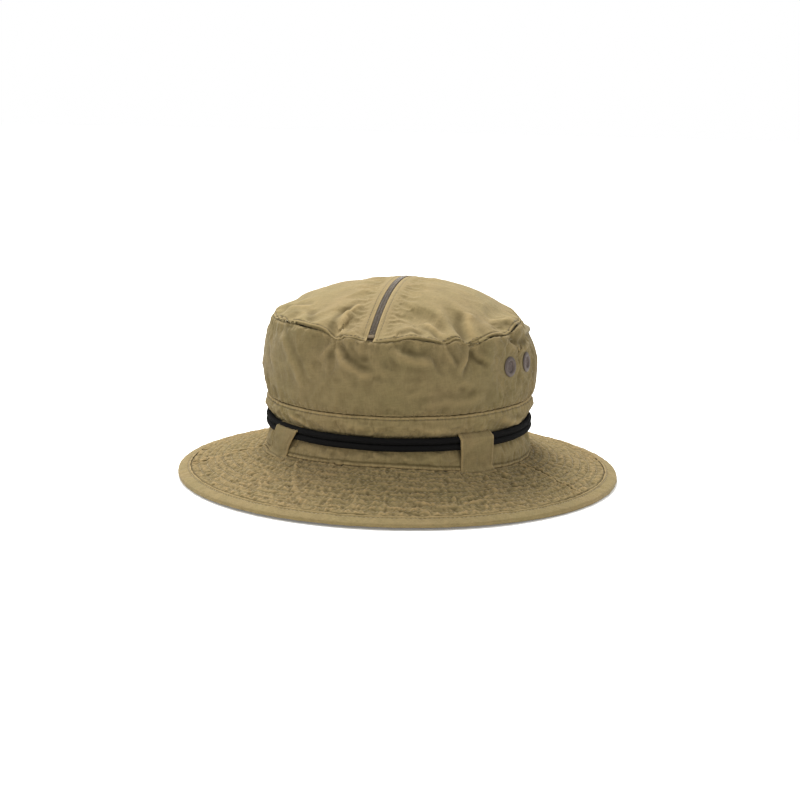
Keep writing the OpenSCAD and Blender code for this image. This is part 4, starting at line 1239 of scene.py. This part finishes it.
def seam_shift(a, d):
    ds, vs = zip(*WRIGGLE)
    w = np.interp(d, ds, vs) + 0.35 * np.sin(d * 1.05) + 0.25 * np.sin(d * 0.47 + 1)
    w2 = 1.2 * np.sin(d * 0.16 + 0.5) + 0.35 * np.sin(d * 0.9)
    return (w * np.exp(-(adiff(a, SEAM_A[0]) / 9) ** 2) + w2 * np.exp(-(adiff(a, SEAM_A[1]) / 9) ** 2)) * 0.62


def brim_relief(a, d, seed, under=False):
    s = np.radians(a) * (95 + 30)
    phi = (d - 4.5) / 5.5
    k = np.round(phi)
    q = np.abs(phi - k) * 5.5
    on = (phi > -0.5) & (phi < 8.5)
    cell = np.floor(phi)
    fr = phi - cell
    t = np.radians(a)
    R = 95.0 + d

    def polar(scale, extra, stretch=1.0):
        # noise on the brim itself, closed round the hat
        x, y = oval(a, d)
        w1 = 1.6 * N1(x / 9.0, y / 9.0, seed + 4.0)
        return N4((x + w1) / scale, (y - w1) / scale, extra + seed)
    x, y = oval(a, d)
    c0 = N3((x * 1.0) / 2.7, (y * 1.0) / 2.7, cell * 7.3 + seed)
    c1 = N3((x * 1.0) / 2.7, (y * 1.0) / 2.7, (cell + 1) * 7.3 + seed)
    xr, yr = oval(a, (cell + 0.5) * 5.5 + 4.5 + (fr - 0.5) * 1.6)
    radial = N2(xr / 2.05, yr / 2.05, seed + cell * 3.1)
    zone = 0.75 + 0.5 * (0.5 + 0.5 * ring(a, 42, 2.0 + seed, N5, d / 40))
    body = np.sin(np.pi * np.clip(fr, 0, 1)) ** 0.6
    r = zone * (0.40 * radial * (0.35 + 0.65 * body) + 0.60 * polar(4.2, 1.0) + 0.55 * polar(2.4, 5.0) + 0.60 * polar(9.5, 9.0) + 0.25 * np.sqrt(body)
                + 1.5 * (0.28 - np.abs(polar(6.8, 13.0))) + 1.0 * (0.28 - np.abs(polar(3.4, 17.0))))
    groove = 0.34 * np.exp(-(q / 0.8) ** 2) * on
    r = r * (1 - 0.45 * np.exp(-(q / 0.7) ** 2) * on) - groove + 0.30
    r = -0.75 + 0.35 * np.logaddexp(0, (r + 0.75) / 0.35)
    r = r * ramp(d, 0.8, 3.0)
    # gathers let into the crown seam
    r = r + 0.30 * ring(a, 4.4, 8.0 + seed, N4, d / 6) * np.exp(-d / 4.0) * ramp(d, 0.3, 1.5)
    return r


CREASES = [([(236, 3.5), (243, 18), (250, 34), (258, 52)], 1.7, 0.75), ([(268, 13.8), (270, 33), (271.2, 49.8)], 1.6, 0.6),
           ([(286, 35), (291, 42.0), (295.8, 44.4), (302, 43.5), (308, 40.3)], 1.5, 0.95), ([(303, 40), (309, 36), (313.5, 29)], 1.5, -0.8),
           ([(314.5, 15), (316, 28), (314, 37)], 1.5, 0.6), ([(300, 8), (306, 15), (312, 25)], 1.5, 0.6), ([(326, 6), (328, 15), (332, 23)], 1.8, 0.9),
           ([(318, 6), (321, 12), (330, 17)], 1.6, -0.7), ([(219, 24), (225, 30), (229, 40)], 1.6, 0.5), ([(277, 42), (284, 48), (292, 50)], 1.4, 0.7),
           ([(322, 26), (330, 30), (337, 37)], 1.6, -0.7), ([(247, 8), (252, 14), (259, 17)], 1.5, 0.5), ([(281, 22), (289, 25), (298, 24)], 1.5, 0.55)]
RAND_TOP = random_strokes(46, 0, 360, 5, 50, 13, 1.5, 0.42)
RAND_UNDER = random_strokes(30, 0, 360, 5, 50, 13, 1.5, 0.40)


def seam_relief(a, d):
    out = 0
    for sa in SEAM_A:
        s = adiff(a, sa) * np.radians(1) * (95 + d)
        out = out - 1.0 * np.exp(-(s / 0.7) ** 2) + 0.75 * np.exp(-((np.abs(s) - 2.0) / 1.1) ** 2) * (1 + 0.6 * N2(d / 2.6, np.sign(s) * 3 + sa, 0.0))
    return out


def brim_cloth(name, a0, a1, mat_, node, under):
    cols = 940
    a = np.linspace(a0, a1, cols)[None, :]
    d = np.linspace(-1.0, 59.8, 112)[:, None] if not under else np.linspace(-1.0, 57.5, 96)[:, None]
    A, D = np.broadcast_arrays(a, d)
    Ae = A + seam_shift(A, D)
    x, y = oval(Ae, D)
    z = brim_z_at(Ae, D)
    r = brim_relief(A % 360, D, 0.0 if not under else 31.0)
    for pts, w, amp in (CREASES + RAND_TOP if not under else RAND_UNDER):
        r = r + stroke(A, D, pts, w * 1.45, amp * 1.7, mm=2.1)
    r = r + seam_relief(A, D) * ramp(D, 1.5, 4)
    flat = 1 - ramp(D, 52.6, 54.2)
    r = np.maximum(r, -0.85) * flat
    if under:
        z = z - 2.0
        # the underside: relief points down, and it stays clear of the table
        base = np.stack([x, y, z], -1)
        n_ = grid_normals(base, False)
        n_ = np.where(n_[..., 2:] > 0, -n_, n_)
        lim = np.where(D < 40, 1.0, 0.55)
        g_ = base + n_ * (0.72 + np.clip(r, -0.6, 0.6) * lim)[..., None]
        g_[..., 2] = np.maximum(g_[..., 2], 0.25)
        thick = 0.62
    else:
        r = np.where(D > 54, -0.12, r)
        base = np.stack([x, y, z], -1)
        n_ = grid_normals(base, False)
        n_ = np.where(n_[..., 2:] < 0, -n_, n_)
        g_ = base + n_ * r[..., None]
        thick = 0.75
    n2_ = grid_normals(g_, False)
    n2_ = np.where((n2_[..., 2:] < 0) != under, -n2_, n2_)
    # Painted shade: darker in the brim's hollows, in the seam grooves, where the edge binding meets the brim and at the
    # crown seam; crests and the strips beside the seams are paler.
    wide = blur(blur(r, 22, 0, False), 55, 1, False)
    wear_and_shade_ = np.clip((r - wide) * 1.25, -1, 1) * 0.9 + ridge_hollow(r, 4, False, 2.0) * 0.3 + 0.08 * ramp(D, 40, 54)
    for sa in SEAM_A:
        s_ = adiff(A, sa) * np.radians(1) * (95 + D)
        wear_and_shade_ = wear_and_shade_ - 1.5 * np.exp(-(s_ / 1.0) ** 2) + 0.5 * np.exp(-((np.abs(s_) - 2.2) / 0.9) ** 2)
    # Painted shade: the brim's left and right sides are darkened to tone down how brightly they are lit.
    wear_and_shade_ = wear_and_shade_ - 0.20 * ramp(np.abs(np.cos(np.radians(A))), 0.55, 0.95)
    wear_and_shade_ = wear_and_shade_ - 0.9 * np.exp(-((D - 53.6) / 0.8) ** 2) - 0.6 * np.exp(-((D - 1.4) / 0.9) ** 2)
    ob_ = shell(name, g_, n2_, thick, False, g_[..., :2] * 1e-3, {"wear_and_shade": wear_and_shade_}, inner_step=8)
    return piece(ob_, mat_, "hat", "brim_cloth", node)


brim_front = brim_cloth("brim_upper_front", 197.0 + 0.02, 343.0 - 0.02, M_BRIM, "brim_top_front", False)
brim_back = brim_cloth("brim_upper_back", -17.0 + 0.02, 197.0 - 0.02, M_BRIM, "brim_top_back", False)
under_front = brim_cloth("brim_lower_front", 197.0 + 0.02, 343.0 - 0.02, M_BRIM, "brim_under_front", True)
under_back = brim_cloth("brim_lower_back", -17.0 + 0.02, 197.0 - 0.02, M_BRIM, "brim_under_back", True)

# stiffener between the two cloths
a = np.arange(480) * 0.75
d = np.linspace(-1.0, 59.5, 24)
A, D = np.meshgrid(a, d)
base = on_oval(A, D, brim_z_at(A, D) - 1.02)
n_ = grid_normals(base, True)
n_ = np.where(n_[..., 2:] < 0, -n_, n_)
stiff = shell("brim_stiffener", base, n_, 0.85, True, base[..., :2] * 1e-3, {"wear_and_shade": np.zeros(A.shape)}, inner_step=2)
piece(stiff, M_INNER, "hat", "inner_cloth", "brim_interlining")

# folded edge
PROF = [(54.5, 0.10), (54.25, 0.55), (54.55, 0.98), (55.1, 0.84), (55.7, 0.34), (56.4, 0.62), (57.6, 0.74), (59.2, 0.70), (60.6, 0.62), (61.7, 0.42)]


def binding():
    cols = 1900
    a_ = np.arange(cols) * 360.0 / cols
    top = refine(np.array(PROF), 0.34)
    rows = []
    for dd, h in top:
        rows.append((dd, h, 0))
    e = BRIM_W
    edge = refine(np.array([(61.7, 0.42 + 3.68), (62.45, 3.55), (62.72, 2.7), (62.72, 1.7), (62.5, 0.8), (61.9, 0.12), (60.8, 0.0), (59.5, 0.0)]), 0.34)[1:]
    for dd, z in edge:
        rows.append((dd, z, 1))
    low = refine(np.array([(59.5, 0.0), (58.4, 0.12), (57.2, 0.42), (56.2, 0.72), (55.7, 1.05), (55.1, 1.12), (54.6, 1.35), (54.5, 1.75), (54.7, 2.1)]), 0.34)[1:]
    for dd, z in low:
        rows.append((dd, z, 2))
    inner = [(55.4, 2.25, 2), (57.5, 1.45, 2), (59.6, 0.95, 2), (61.3, 0.85, 1), (61.75, 1.4, 1), (61.75, 3.0, 1), (61.0, 0.08, 0), (58.5, 0.08, 0), (56.0, 0.06, 0)]
    allr = rows + inner
    G = np.zeros((len(allr), cols, 3))
    rel = np.zeros((len(allr), cols))
    for i, (dd, h, kind) in enumerate(allr):
        if kind == 0:
            z = brim_z_at(a_, np.full(cols, dd)) + h
        else:
            z = np.full(cols, h) + 0.0 * a_
        wob = 0.14 * ring(a_, 7, 2.0, N3) * (dd < 55.0)
        G[i] = on_oval(a_, dd + wob, z)
        if i < len(rows):
            t_ = i * 0.34
            rel[i] = 0.30 * ring(a_, 3.2, 4.0, N4, t_ / 6) + 0.36 * ring(a_, 5.5, 9.0, N1, t_ / 9) + 0.08 * ring(a_, 1.6, 2.0, N2, t_ / 2)
            rel[i] *= 0.25 if kind == 1 and h < 0.3 or kind == 2 and dd > 58.5 else (0.9 if kind == 0 else 0.6)
    # the edge lifts a little at the front
    lift = 1.3 * np.exp(-(adiff(a_, 272) / 48) ** 4)
    for i, (dd, h, kind) in enumerate(allr):
        if kind:
            G[i, :, 2] += lift * np.clip((2.7 - G[i, :, 2]) / 2.7, 0, 1)
    nrm = grid_normals(G[:len(rows)], True)
    mid_ = G[:len(rows)].mean(0)
    if np.mean(nrm[8, :, 2]) < 0:
        nrm = -nrm
    G[:len(rows)] += nrm * rel[:len(rows), :, None]
    G[..., 2] = np.maximum(G[..., 2], 0.0)
    m = len(allr)
    f = grid_faces(m, cols, True)
    last = np.stack([(m - 1) * cols + np.arange(cols), (m - 1) * cols + (np.arange(cols) + 1) % cols,
                     (np.arange(cols) + 1) % cols, np.arange(cols)], -1)
    s_ = np.broadcast_to(a_ * 0.00262, (m, cols))
    t_ = np.broadcast_to((np.arange(m) * 0.00034)[:, None], (m, cols))
    w_ = np.zeros((m, cols))
    # Painted shade: darker in the hollows of the edge's relief and in the groove at its stitch line; paler on crests
    # and on the inner fold ridge.
    w_[:len(rows)] = ridge_hollow(rel[:len(rows)], 12, True, 2.6) * 0.8
    for i, (dd, h, kind) in enumerate(rows):
        if kind == 0:
            w_[i] += 0.85 * np.exp(-((dd - 54.6) / 0.55) ** 2) - 0.75 * np.exp(-((dd - 55.8) / 0.6) ** 2)
        if kind == 1:
            w_[i] += 0.10 * (h > 0.6)
        if kind == 2:
            w_[i] += 0.3
    return fix_normals(make_mesh("brim_edge", G.reshape(-1, 3), [np.concatenate([f, last])], np.stack([s_, t_], -1).reshape(-1, 2), True, {"wear_and_shade": w_})), rows


bind, bind_rows = binding()
piece(bind, M_BIND, "hat", "brim_cloth", "brim_binding")

# ------------------------------------------------------------------ the cord's loops
def loop(name, node, a_low, a_high, drop):
    """A folded strip of cloth over the cord, sewn into the crown at its top and its bottom."""
    am = 0.5 * (a_low + a_high)
    lean = float(z_cord(am)) - CORD_Z
    base = float(z_brim(am)) - BRIM_RISE
    pr = [(-2.1, 46.6 - drop), (-0.6, 46.1 - drop), (0.9, 45.2 - drop), (2.2, 44.0 - drop), (3.1, 42.6 - 0.6 * drop), (3.5, 40.8 - 0.3 * drop), (3.6, 38.3),
          (3.55, 35.2), (3.30, 32.0), (2.80, 28.4), (2.45, 25.2), (2.45, 23.0), (2.9, 21.5), (3.9, 20.45), (5.1, 19.75), (6.3, 19.2)]
    pr = refine(np.array([(o, z + lean * ramp(z, 21, 34) + base * (1 - ramp(z, 21, 34))) for o, z in pr]), 0.42)
    tan = np.gradient(pr, axis=0)
    tan /= np.linalg.norm(tan, axis=1, keepdims=True)
    no, nz = -tan[:, 1][:, None], tan[:, 0][:, None]
    h = len(pr)
    half = 12.5
    w = np.concatenate([np.linspace(-half, half, 56), ])
    thick = 1.15
    cols_out = [(x, 0.0) for x in w]
    edge_r = [(half + 0.30, -0.12), (half + 0.48, -0.45), (half + 0.38, -0.85), (half, -thick)]
    inner_ = [(x, -thick) for x in np.linspace(half - 1.5, -half + 1.5, 18)]
    edge_l = [(-half, -thick), (-half - 0.38, -0.85), (-half - 0.48, -0.45), (-half - 0.30, -0.12)]
    sec = np.array(cols_out + edge_r + inner_ + edge_l)
    W = sec[:, 0][None, :] * np.ones((h, 1))
    T = sec[:, 1][None, :] * np.ones((h, 1))
    zz = pr[:, 1][:, None]
    share = ramp(zz, 22, 47)
    ac = a_low + (a_high - a_low) * share
    bow = 0.5 * N1(zz / 14.0, am, 0.3) * np.sign(W)
    rr = 0.5 * float(oval_r(am - 7) + oval_r(am + 7)) + 2.5
    a_ = ac + np.degrees((W + bow) / rr)
    off = pr[:, 0][:, None] + T
    outer = (T > -0.3)
    rel = np.where(outer, 0.30 * np.exp(-((np.abs(W) - half + 0.9) / 0.8) ** 2) - 0.16 * np.exp(-((np.abs(W) - half + 2.3) / 0.6) ** 2), 0)
    sl = np.stack(np.broadcast_arrays(W, zz, am + 0 * W), -1)
    rel = rel + np.where(outer, 0.34 * N2(W / 8, zz / 11, am) + 0.16 * N3(W / 3.6, zz / 4.5, am) + 0.06 * N5(W / 1.7, zz / 1.7, am), 0)
    # it pulls in a little where it is sewn at its ends
    end_ = (len(pr) - 1 - np.arange(len(pr)))[:, None] * 0.42
    rel = rel + np.where(outer, -0.28 * np.exp(-((end_ - 1.9) / 0.45) ** 2), 0)
    G = on_oval(a_, pr[:, 0][:, None] + no * (T + rel), zz + nz * (T + rel))
    cols = len(sec)
    f = grid_faces(h, cols, True)
    c0 = np.arange(cols)[::-1][None]
    c1 = (h - 1) * cols + np.arange(cols)[None]
    uv_ = np.stack([W * 1e-3, np.broadcast_to(zz * 1e-3, W.shape)], -1)
    wear_and_shade_ = np.where(outer, 0.95 * np.exp(-((np.abs(W) - half) / 0.55) ** 2) + 0.25 * N2(W / 5, zz / 5, 3.0), 0.8 * (np.abs(W) > half))
    # Painted shade: darker at the top where the loop goes under the band's fold and in the dimple above its sewn bottom
    # end; its folded edges and very bottom end are paler where they rub.
    wear_and_shade_ = wear_and_shade_ - 0.5 * np.exp(-((zz - pr[0, 1]) / 0.8) ** 2) * outer - 0.7 * np.exp(-((end_ - 1.9) / 0.5) ** 2) * outer + 0.7 * np.exp(-(end_ / 0.6) ** 2)
    ob_ = fix_normals(make_mesh(name, G.reshape(-1, 3), [f, np.concatenate([c0, c1])], uv_.reshape(-1, 2), True, {"wear_and_shade": wear_and_shade_}))
    return piece(ob_, M_LOOP, "hat", "crown_cloth", node)


loop("loop_right", "loop_front_right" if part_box("loop_front_right")[0].x < 0 else "loop_front_left", 219.3, 228.3, 3.4)
loop("loop_left", "loop_front_left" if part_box("loop_front_left")[0].x > 0 else "loop_front_right", 319.2, 318.6, 1.8)
loop("loop_back_left", "loop_rear_left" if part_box("loop_rear_left")[0].x > 0 else "loop_rear_right", 42.0, 43.5, 1.6)
loop("loop_back_right", "loop_rear_right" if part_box("loop_rear_right")[0].x < 0 else "loop_rear_left", 138.0, 136.5, 1.6)


# ------------------------------------------------------------------ inside the crown
def band_line_z(z):
    return np.interp(z, [20.5, 27, 34, 44, 52, 58.5, 64, 72, 77, 98], [0.3, -1.2, -2.8, -2.8, -1.0, 0, 1.9, 3.0, 3.0, 1.28])


a = np.arange(720) * 0.5
zz = np.linspace(21.2, 49.6, 44)
A, Z = np.meshgrid(a, zz)
off = band_line_z(Z) - 2.30
top_e, low_e = 49.6 - Z, Z - 21.2
r = 0.22 * np.exp(-((top_e - 0.8) / 0.7) ** 2) - 0.22 * np.exp(-((top_e - 2.6) / 0.4) ** 2) + 0.30 * ring(A, 6, 3.0, N2, Z / 8) * np.exp(-low_e / 5) \
    + 0.25 * ring(A, 18, 5.0, N1, Z / 14) + 0.10 * ring(A, 4, 1.0, N3, Z / 4)
g = on_oval(A, off - r, Z)
n_ = -grid_normals(g, True)
# Painted shade: darker in the band's hollows and in the groove below its top.
sweat = shell("sweat_band", g, n_, 1.15, True, np.stack([A * 1.6e-3, Z * 1e-3], -1), {"wear_and_shade": ridge_hollow(r, 4, True, 2) * 0.5 - 0.5 * np.exp(-((top_e - 2.6) / 0.4) ** 2)}, inner_step=3)
piece(sweat, M_INNER, "hat", "inner_cloth", "sweatband")

zz = np.linspace(53.6, 63.2, 16)
A, Z = np.meshgrid(a, zz)
r = 0.10 * ring(A, 5, 3.0, N2, Z / 4) + 0.14 * np.exp(-((np.abs(Z - 58.4) - 3.9) / 0.6) ** 2)
g = on_oval(A, band_line_z(Z) - 1.78 - r, Z)
n_ = -grid_normals(g, True)
tape = shell("seam_tape_inside", g, n_, 0.6, True, np.stack([A * 1.6e-3, Z * 1e-3], -1), {"wear_and_shade": r * 0}, inner_step=3)
piece(tape, M_INNER, "hat", "inner_cloth", "crown_seam_tape")

m = 110
v, u = np.meshgrid(np.linspace(-1, 1, m), np.linspace(-1, 1, m), indexing="ij")
X, Y = u * np.sqrt(1 - v * v / 2), v * np.sqrt(1 - u * u / 2)
th, rho = np.degrees(np.arctan2(Y, X)), np.hypot(X, Y)
bx, by = oval(th % 360, -1.1)
x, y = rho * bx, rho * by
LZ, LR = HAT_H - 11.25 - 190.0, 190.0
z = LZ + np.sqrt((LR - 0.8) ** 2 - x * x - y * y)
z = z - (0.8 * N1(x / 32, y / 32, 2.0) + 0.5 + 0.35 * N2(x / 14, y / 14, 1.0) + 0.12 * N3(x / 5, y / 5, 1.0)) * (1 - ramp(rho, 0.86, 0.985)) \
    - 0.25 * ring(th, 5, 2.0, N3) * ramp(rho, 0.86, 0.97) * (1 - ramp(rho, 0.97, 1.0))
g = np.stack([x, y, z], -1)
n_ = grid_normals(g, False)
n_ = np.where(n_[..., 2:] > 0, -n_, n_)
lining = shell("pocket_floor", g, n_, 0.7, False, g[..., :2] * 1e-3, {"wear_and_shade": 0 * rho}, inner_step=4)
piece(lining, M_INNER, "hat", "inner_cloth", "pocket_lining")


# ------------------------------------------------------------------ zip
def on_zip(theta, x, rad):
    t = np.radians(theta)
    return np.stack(np.broadcast_arrays(x, rad * np.sin(t), DOME_Z + rad * np.cos(t)), -1)


for side, nm in ((1, "left"), (-1, "right")):
    th = np.linspace(-37.0, 37.0, 260)[None, :]
    w = np.linspace(0.5, 11.9, 20)[:, None]
    TH, W = np.broadcast_arrays(th, w)
    W = W - (W < 3) * 0.44 * (3 - W) / 2.5 * ramp(np.abs(TH), 34.9, 35.5)
    rad = 157.36 - 0.9 * ramp(W, 5, 11.9) - 0.10 * np.exp(-((W - 0.9) / 0.5) ** 2) + 0.03 * N3(TH * 1.8, W * 0.9, side) + 0.04 * np.sin(W * 6.0)
    g = on_zip(TH, side * W, rad)
    n_ = grid_normals(g, False)
    n_ = np.where(n_[..., 2:] < 0, -n_, n_)
    ob = shell("zip_ribbon_" + nm, g, n_, 0.46, False, np.stack([TH * 0.00276, W * 1e-3], -1), {"wear_and_shade": 0 * W}, inner_step=6)
    piece(ob, M_TAPE, "hat", "zip_tape", "zip_tape_" + nm)
    pitch = 1.42
    turns = int(2 * 34.5 * math.radians(1) * 158.3 / pitch)
    k = np.arange(turns * 18 + 1) / 18.0
    theta = -34.5 + k * pitch / (math.radians(1) * 158.3) + (0.0 if side > 0 else 0.5 * pitch / (math.radians(1) * 158.3))
    ok = theta < 34.6
    k, theta = k[ok], theta[ok]
    ph = 2 * np.pi * k
    x = side * (1.16 - 0.88 * np.cos(ph))
    rad = 158.30 + 0.44 * np.sin(ph)
    lean = 0.16 * pitch / (math.radians(1) * 158.3) * np.sin(ph)
    head = np.exp(-((np.cos(ph) - 1) / 0.35) ** 2)
    ob = tube("zip_teeth_" + nm, on_zip(theta + lean, x, rad), 0.265 + 0.075 * head, 7, up=[0, 1, 0.2])
    piece(ob, M_COIL, "hat", "zip_coil", "zip_coil_" + nm)

# ------------------------------------------------------------------ screens in the vents
parts = []
for c_, n_, up_, sv_, a_ in VENT_FRAMES:
    R = HOLE_R - 0.62
    step = 0.64
    ks = np.arange(-5, 6)
    for fam in (0, 1):
        for k in ks:
            off = k * step
            if abs(off) >= R - 0.1:
                continue
            L = math.sqrt(R * R - off * off)
            t = np.linspace(-L, L, max(6, int(L * 2 / 0.16)))
            w = 0.11 * np.cos(np.pi * t / step + np.pi * (k + fam))
            p0, p1 = (off, t) if fam else (t, off)
            pts = c_ + np.multiply.outer(np.broadcast_to(p0, t.shape), sv_) + np.multiply.outer(np.broadcast_to(p1, t.shape), up_) + np.multiply.outer(w - 0.22, n_)
            tdir = sv_ if fam == 0 else up_
            u_ = np.cross(tdir, n_)
            ang = np.radians(np.arange(6) * 60)
            g = pts[:, None] + 0.20 * (np.cos(ang)[None, :, None] * u_ + np.sin(ang)[None, :, None] * n_)
            q = len(t)
            parts.append((g.reshape(-1, 3), [grid_faces(q, 6, True), np.array([[5, 4, 3, 2, 1, 0]]), np.array([[0, 1, 2, 3, 4, 5]]) + (q - 1) * 6]))
    # the ring that holds the wires
    ang = np.radians(np.arange(64) * 360 / 64)
    sec = np.radians(np.arange(8) * 45)
    rr_ = R - 0.05 + 0.20 * np.cos(sec)[None, :]
    hh = -0.22 + 0.20 * np.sin(sec)[None, :]
    g = c_ + rr_[..., None] * (np.cos(ang)[:, None, None] * sv_ + np.sin(ang)[:, None, None] * up_) + hh[..., None] * n_
    g = np.concatenate([g, g[:1]])
    f = grid_faces(65, 8, True)
    f = np.where(f >= 512, f - 512, f)
    parts.append((g[:64].reshape(-1, 3), [f]))
screens = fix_normals(join_parts("vent_mesh_screens", parts))
piece(screens, M_WIRE, "hat", "vent_mesh", "vent_screens")

# ------------------------------------------------------------------ thread
from mathutils.bvhtree import BVHTree
bpy.context.view_layer.update()
DG = bpy.context.evaluated_depsgraph_get()


def land(obs, origins, dirs, reach=60.0):
    """Where rays first meet these pieces: points, normals and a mask."""
    trees = [BVHTree.FromObject(o, DG) for o in obs]
    P, N, ok = np.zeros((len(origins), 3)), np.zeros((len(origins), 3)), np.zeros(len(origins), bool)
    for i, (o, d) in enumerate(zip(origins, dirs)):
        best = None
        for t in trees:
            hit = t.ray_cast(Vector(o) * 0.001, Vector(d), reach * 0.001)
            if hit[0] is not None and (best is None or hit[3] < best[3]):
                best = hit
        if best is not None:
            nn = best[1] if best[1].dot(Vector(d)) < 0 else -best[1]
            P[i], N[i], ok[i] = np.array(best[0]) * 1000, nn, True
    return P, N, ok


def runs(P, N, ok, closed):
    """The unbroken stretches of a line that landed."""
    if ok.all():
        return [(P, N, closed)]
    i0 = int(np.argmin(ok)) if closed else 0
    P, N, ok = np.roll(P, -i0, 0), np.roll(N, -i0, 0), np.roll(ok, -i0)
    out, cur = [], []
    for i in range(len(ok)):
        if ok[i]:
            cur.append(i)
        elif cur:
            out.append(cur)
            cur = []
    if cur:
        out.append(cur)
    return [(P[c], N[c], False) for c in out if len(c) > 6]


def soften(N):
    N = blur(N, 3, 0, False)
    return N / np.maximum(np.linalg.norm(N, axis=1, keepdims=True), 1e-9)


def sew(parts, obs, origins, dirs, closed, skip=None, jump=1.2, **kw):
    P, N, ok = land(obs, origins, dirs)
    if skip is not None:
        ok &= ~skip
    for p, n, c in runs(P, N, ok, closed):
        parts.append(stitches(p, soften(n), c, **kw))


def flat_dirs(v, count):
    return np.tile(np.asarray(v, float), (count, 1))


a = np.arange(0, 360, 0.3)
parts = []
x, y = oval(a, D_TOP(a) - 1.62)
sew(parts, [tips[1], tips[-1]], np.stack([x, y, np.full(len(a), 135.0)], -1), flat_dirs((0, 0, -1), len(a)), True,
    skip=np.abs(x) < 3.0, pitch=2.9, length=2.2, radius=0.17, lift=0.03)
t = np.radians(a)
inward = np.stack([-np.cos(t), -np.sin(t), 0 * t], -1)
sew(parts, [band], on_oval(a, 25.0, z_low(a) - 2.45), inward, True, pitch=2.9, length=2.2, radius=0.17, lift=0.03)
yy = np.arange(-86, 86.2, 0.4)
for side in (1, -1):
    for xx in (ZIP_X + 3.05,):
        sew(parts, [tips[side]], np.stack([np.full(len(yy), side * xx), yy, np.full(len(yy), 150.0)], -1), flat_dirs((0, 0, -1), len(yy)), False,
            pitch=2.8, length=2.15, radius=0.16, lift=0.03)
crown_thread = fix_normals(join_parts("thread_crown", parts))
piece(crown_thread, M_THREAD_SHADED, "hat", "crown_cloth")

parts = []
for k in range(9):
    dd = 4.5 + 5.5 * k
    aa = np.arange(0, 360, 0.32)
    x, y = oval(aa, dd)
    sew(parts, [brim_front, brim_back], np.stack([x, y, np.full(len(aa), 60.0)], -1), flat_dirs((0, 0, -1), len(aa)), True,
        skip=None, pitch=2.7, length=2.0, radius=0.15, lift=0.02)
x, y = oval(aa, 55.7)
sew(parts, [bind], np.stack([x, y, np.full(len(aa), 30.0)], -1), flat_dirs((0, 0, -1), len(aa)), True, pitch=2.9, length=2.2, radius=0.17, lift=0.03)
piece(fix_normals(join_parts("thread_brim_top", parts)), M_QUILT, "hat", "brim_cloth")
parts = []
for k in range(9):
    dd = 4.5 + 5.5 * k
    x, y = oval(aa, dd)
    sew(parts, [under_front, under_back], np.stack([x, y, np.full(len(aa), -20.0)], -1), flat_dirs((0, 0, 1), len(aa)), True,
        pitch=2.7, length=2.0, radius=0.15, lift=0.02)
x, y = oval(aa, 55.7)
sew(parts, [bind], np.stack([x, y, np.full(len(aa), -10.0)], -1), flat_dirs((0, 0, 1), len(aa)), True, pitch=2.9, length=2.2, radius=0.16, lift=0.02)
piece(fix_normals(join_parts("thread_brim_under", parts)), M_THREAD, "hat", "brim_cloth")
parts = []
t = np.radians(a)
outward = np.stack([np.cos(t), np.sin(t), 0 * t], -1)
sew(parts, [sweat], on_oval(a, -12.0, np.full(len(a), 47.0)), outward, True, pitch=3.0, length=2.2, radius=0.17, lift=0.03)
piece(fix_normals(join_parts("thread_sweat_band", parts)), M_THREAD, "hat", "inner_cloth")

# ------------------------------------------------------------------ CAD pieces that stay
for node, mat_, width in (("vent_eyelets", M_GUN, 0.16), ("vent_washers", M_GUN, 0.12), ("zip_front_stop", M_TAPE, 0.22),
                          ("zip_back_stop", M_ZIPMETAL, 0.22), ("zip_slider", M_ZIPMETAL, 0.22), ("zip_pull", M_ZIPMETAL, 0.24),
                          ("cord_lock_barrel", M_PLASTIC, 0.45), ("cord_lock_plunger", M_PLASTIC, 0.40), ("cord_lock_spring", M_STEEL, 0.0)):
    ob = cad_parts[node]
    ob.data.materials.clear()
    ob.data.materials.append(mat_)
    ob.data.polygons.foreach_set("use_smooth", np.ones(len(ob.data.polygons), bool))
    w = ob.modifiers.new("Weld", "WELD")
    w.merge_threshold = 0.000004
    if width:
        b = ob.modifiers.new("Bevel", "BEVEL")
        b.width, b.segments, b.limit_method, b.angle_limit = width * 0.001, 3, "ANGLE", math.radians(32)
        b.harden_normals = False
        b.use_clamp_overlap = True

bpy.context.view_layer.update()
new_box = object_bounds()


def plain(v):
    if hasattr(v, "__len__"):
        return [plain(x) for x in v]
    return float(v)


{"cad": plain(cad_box), "visual": plain(new_box)}
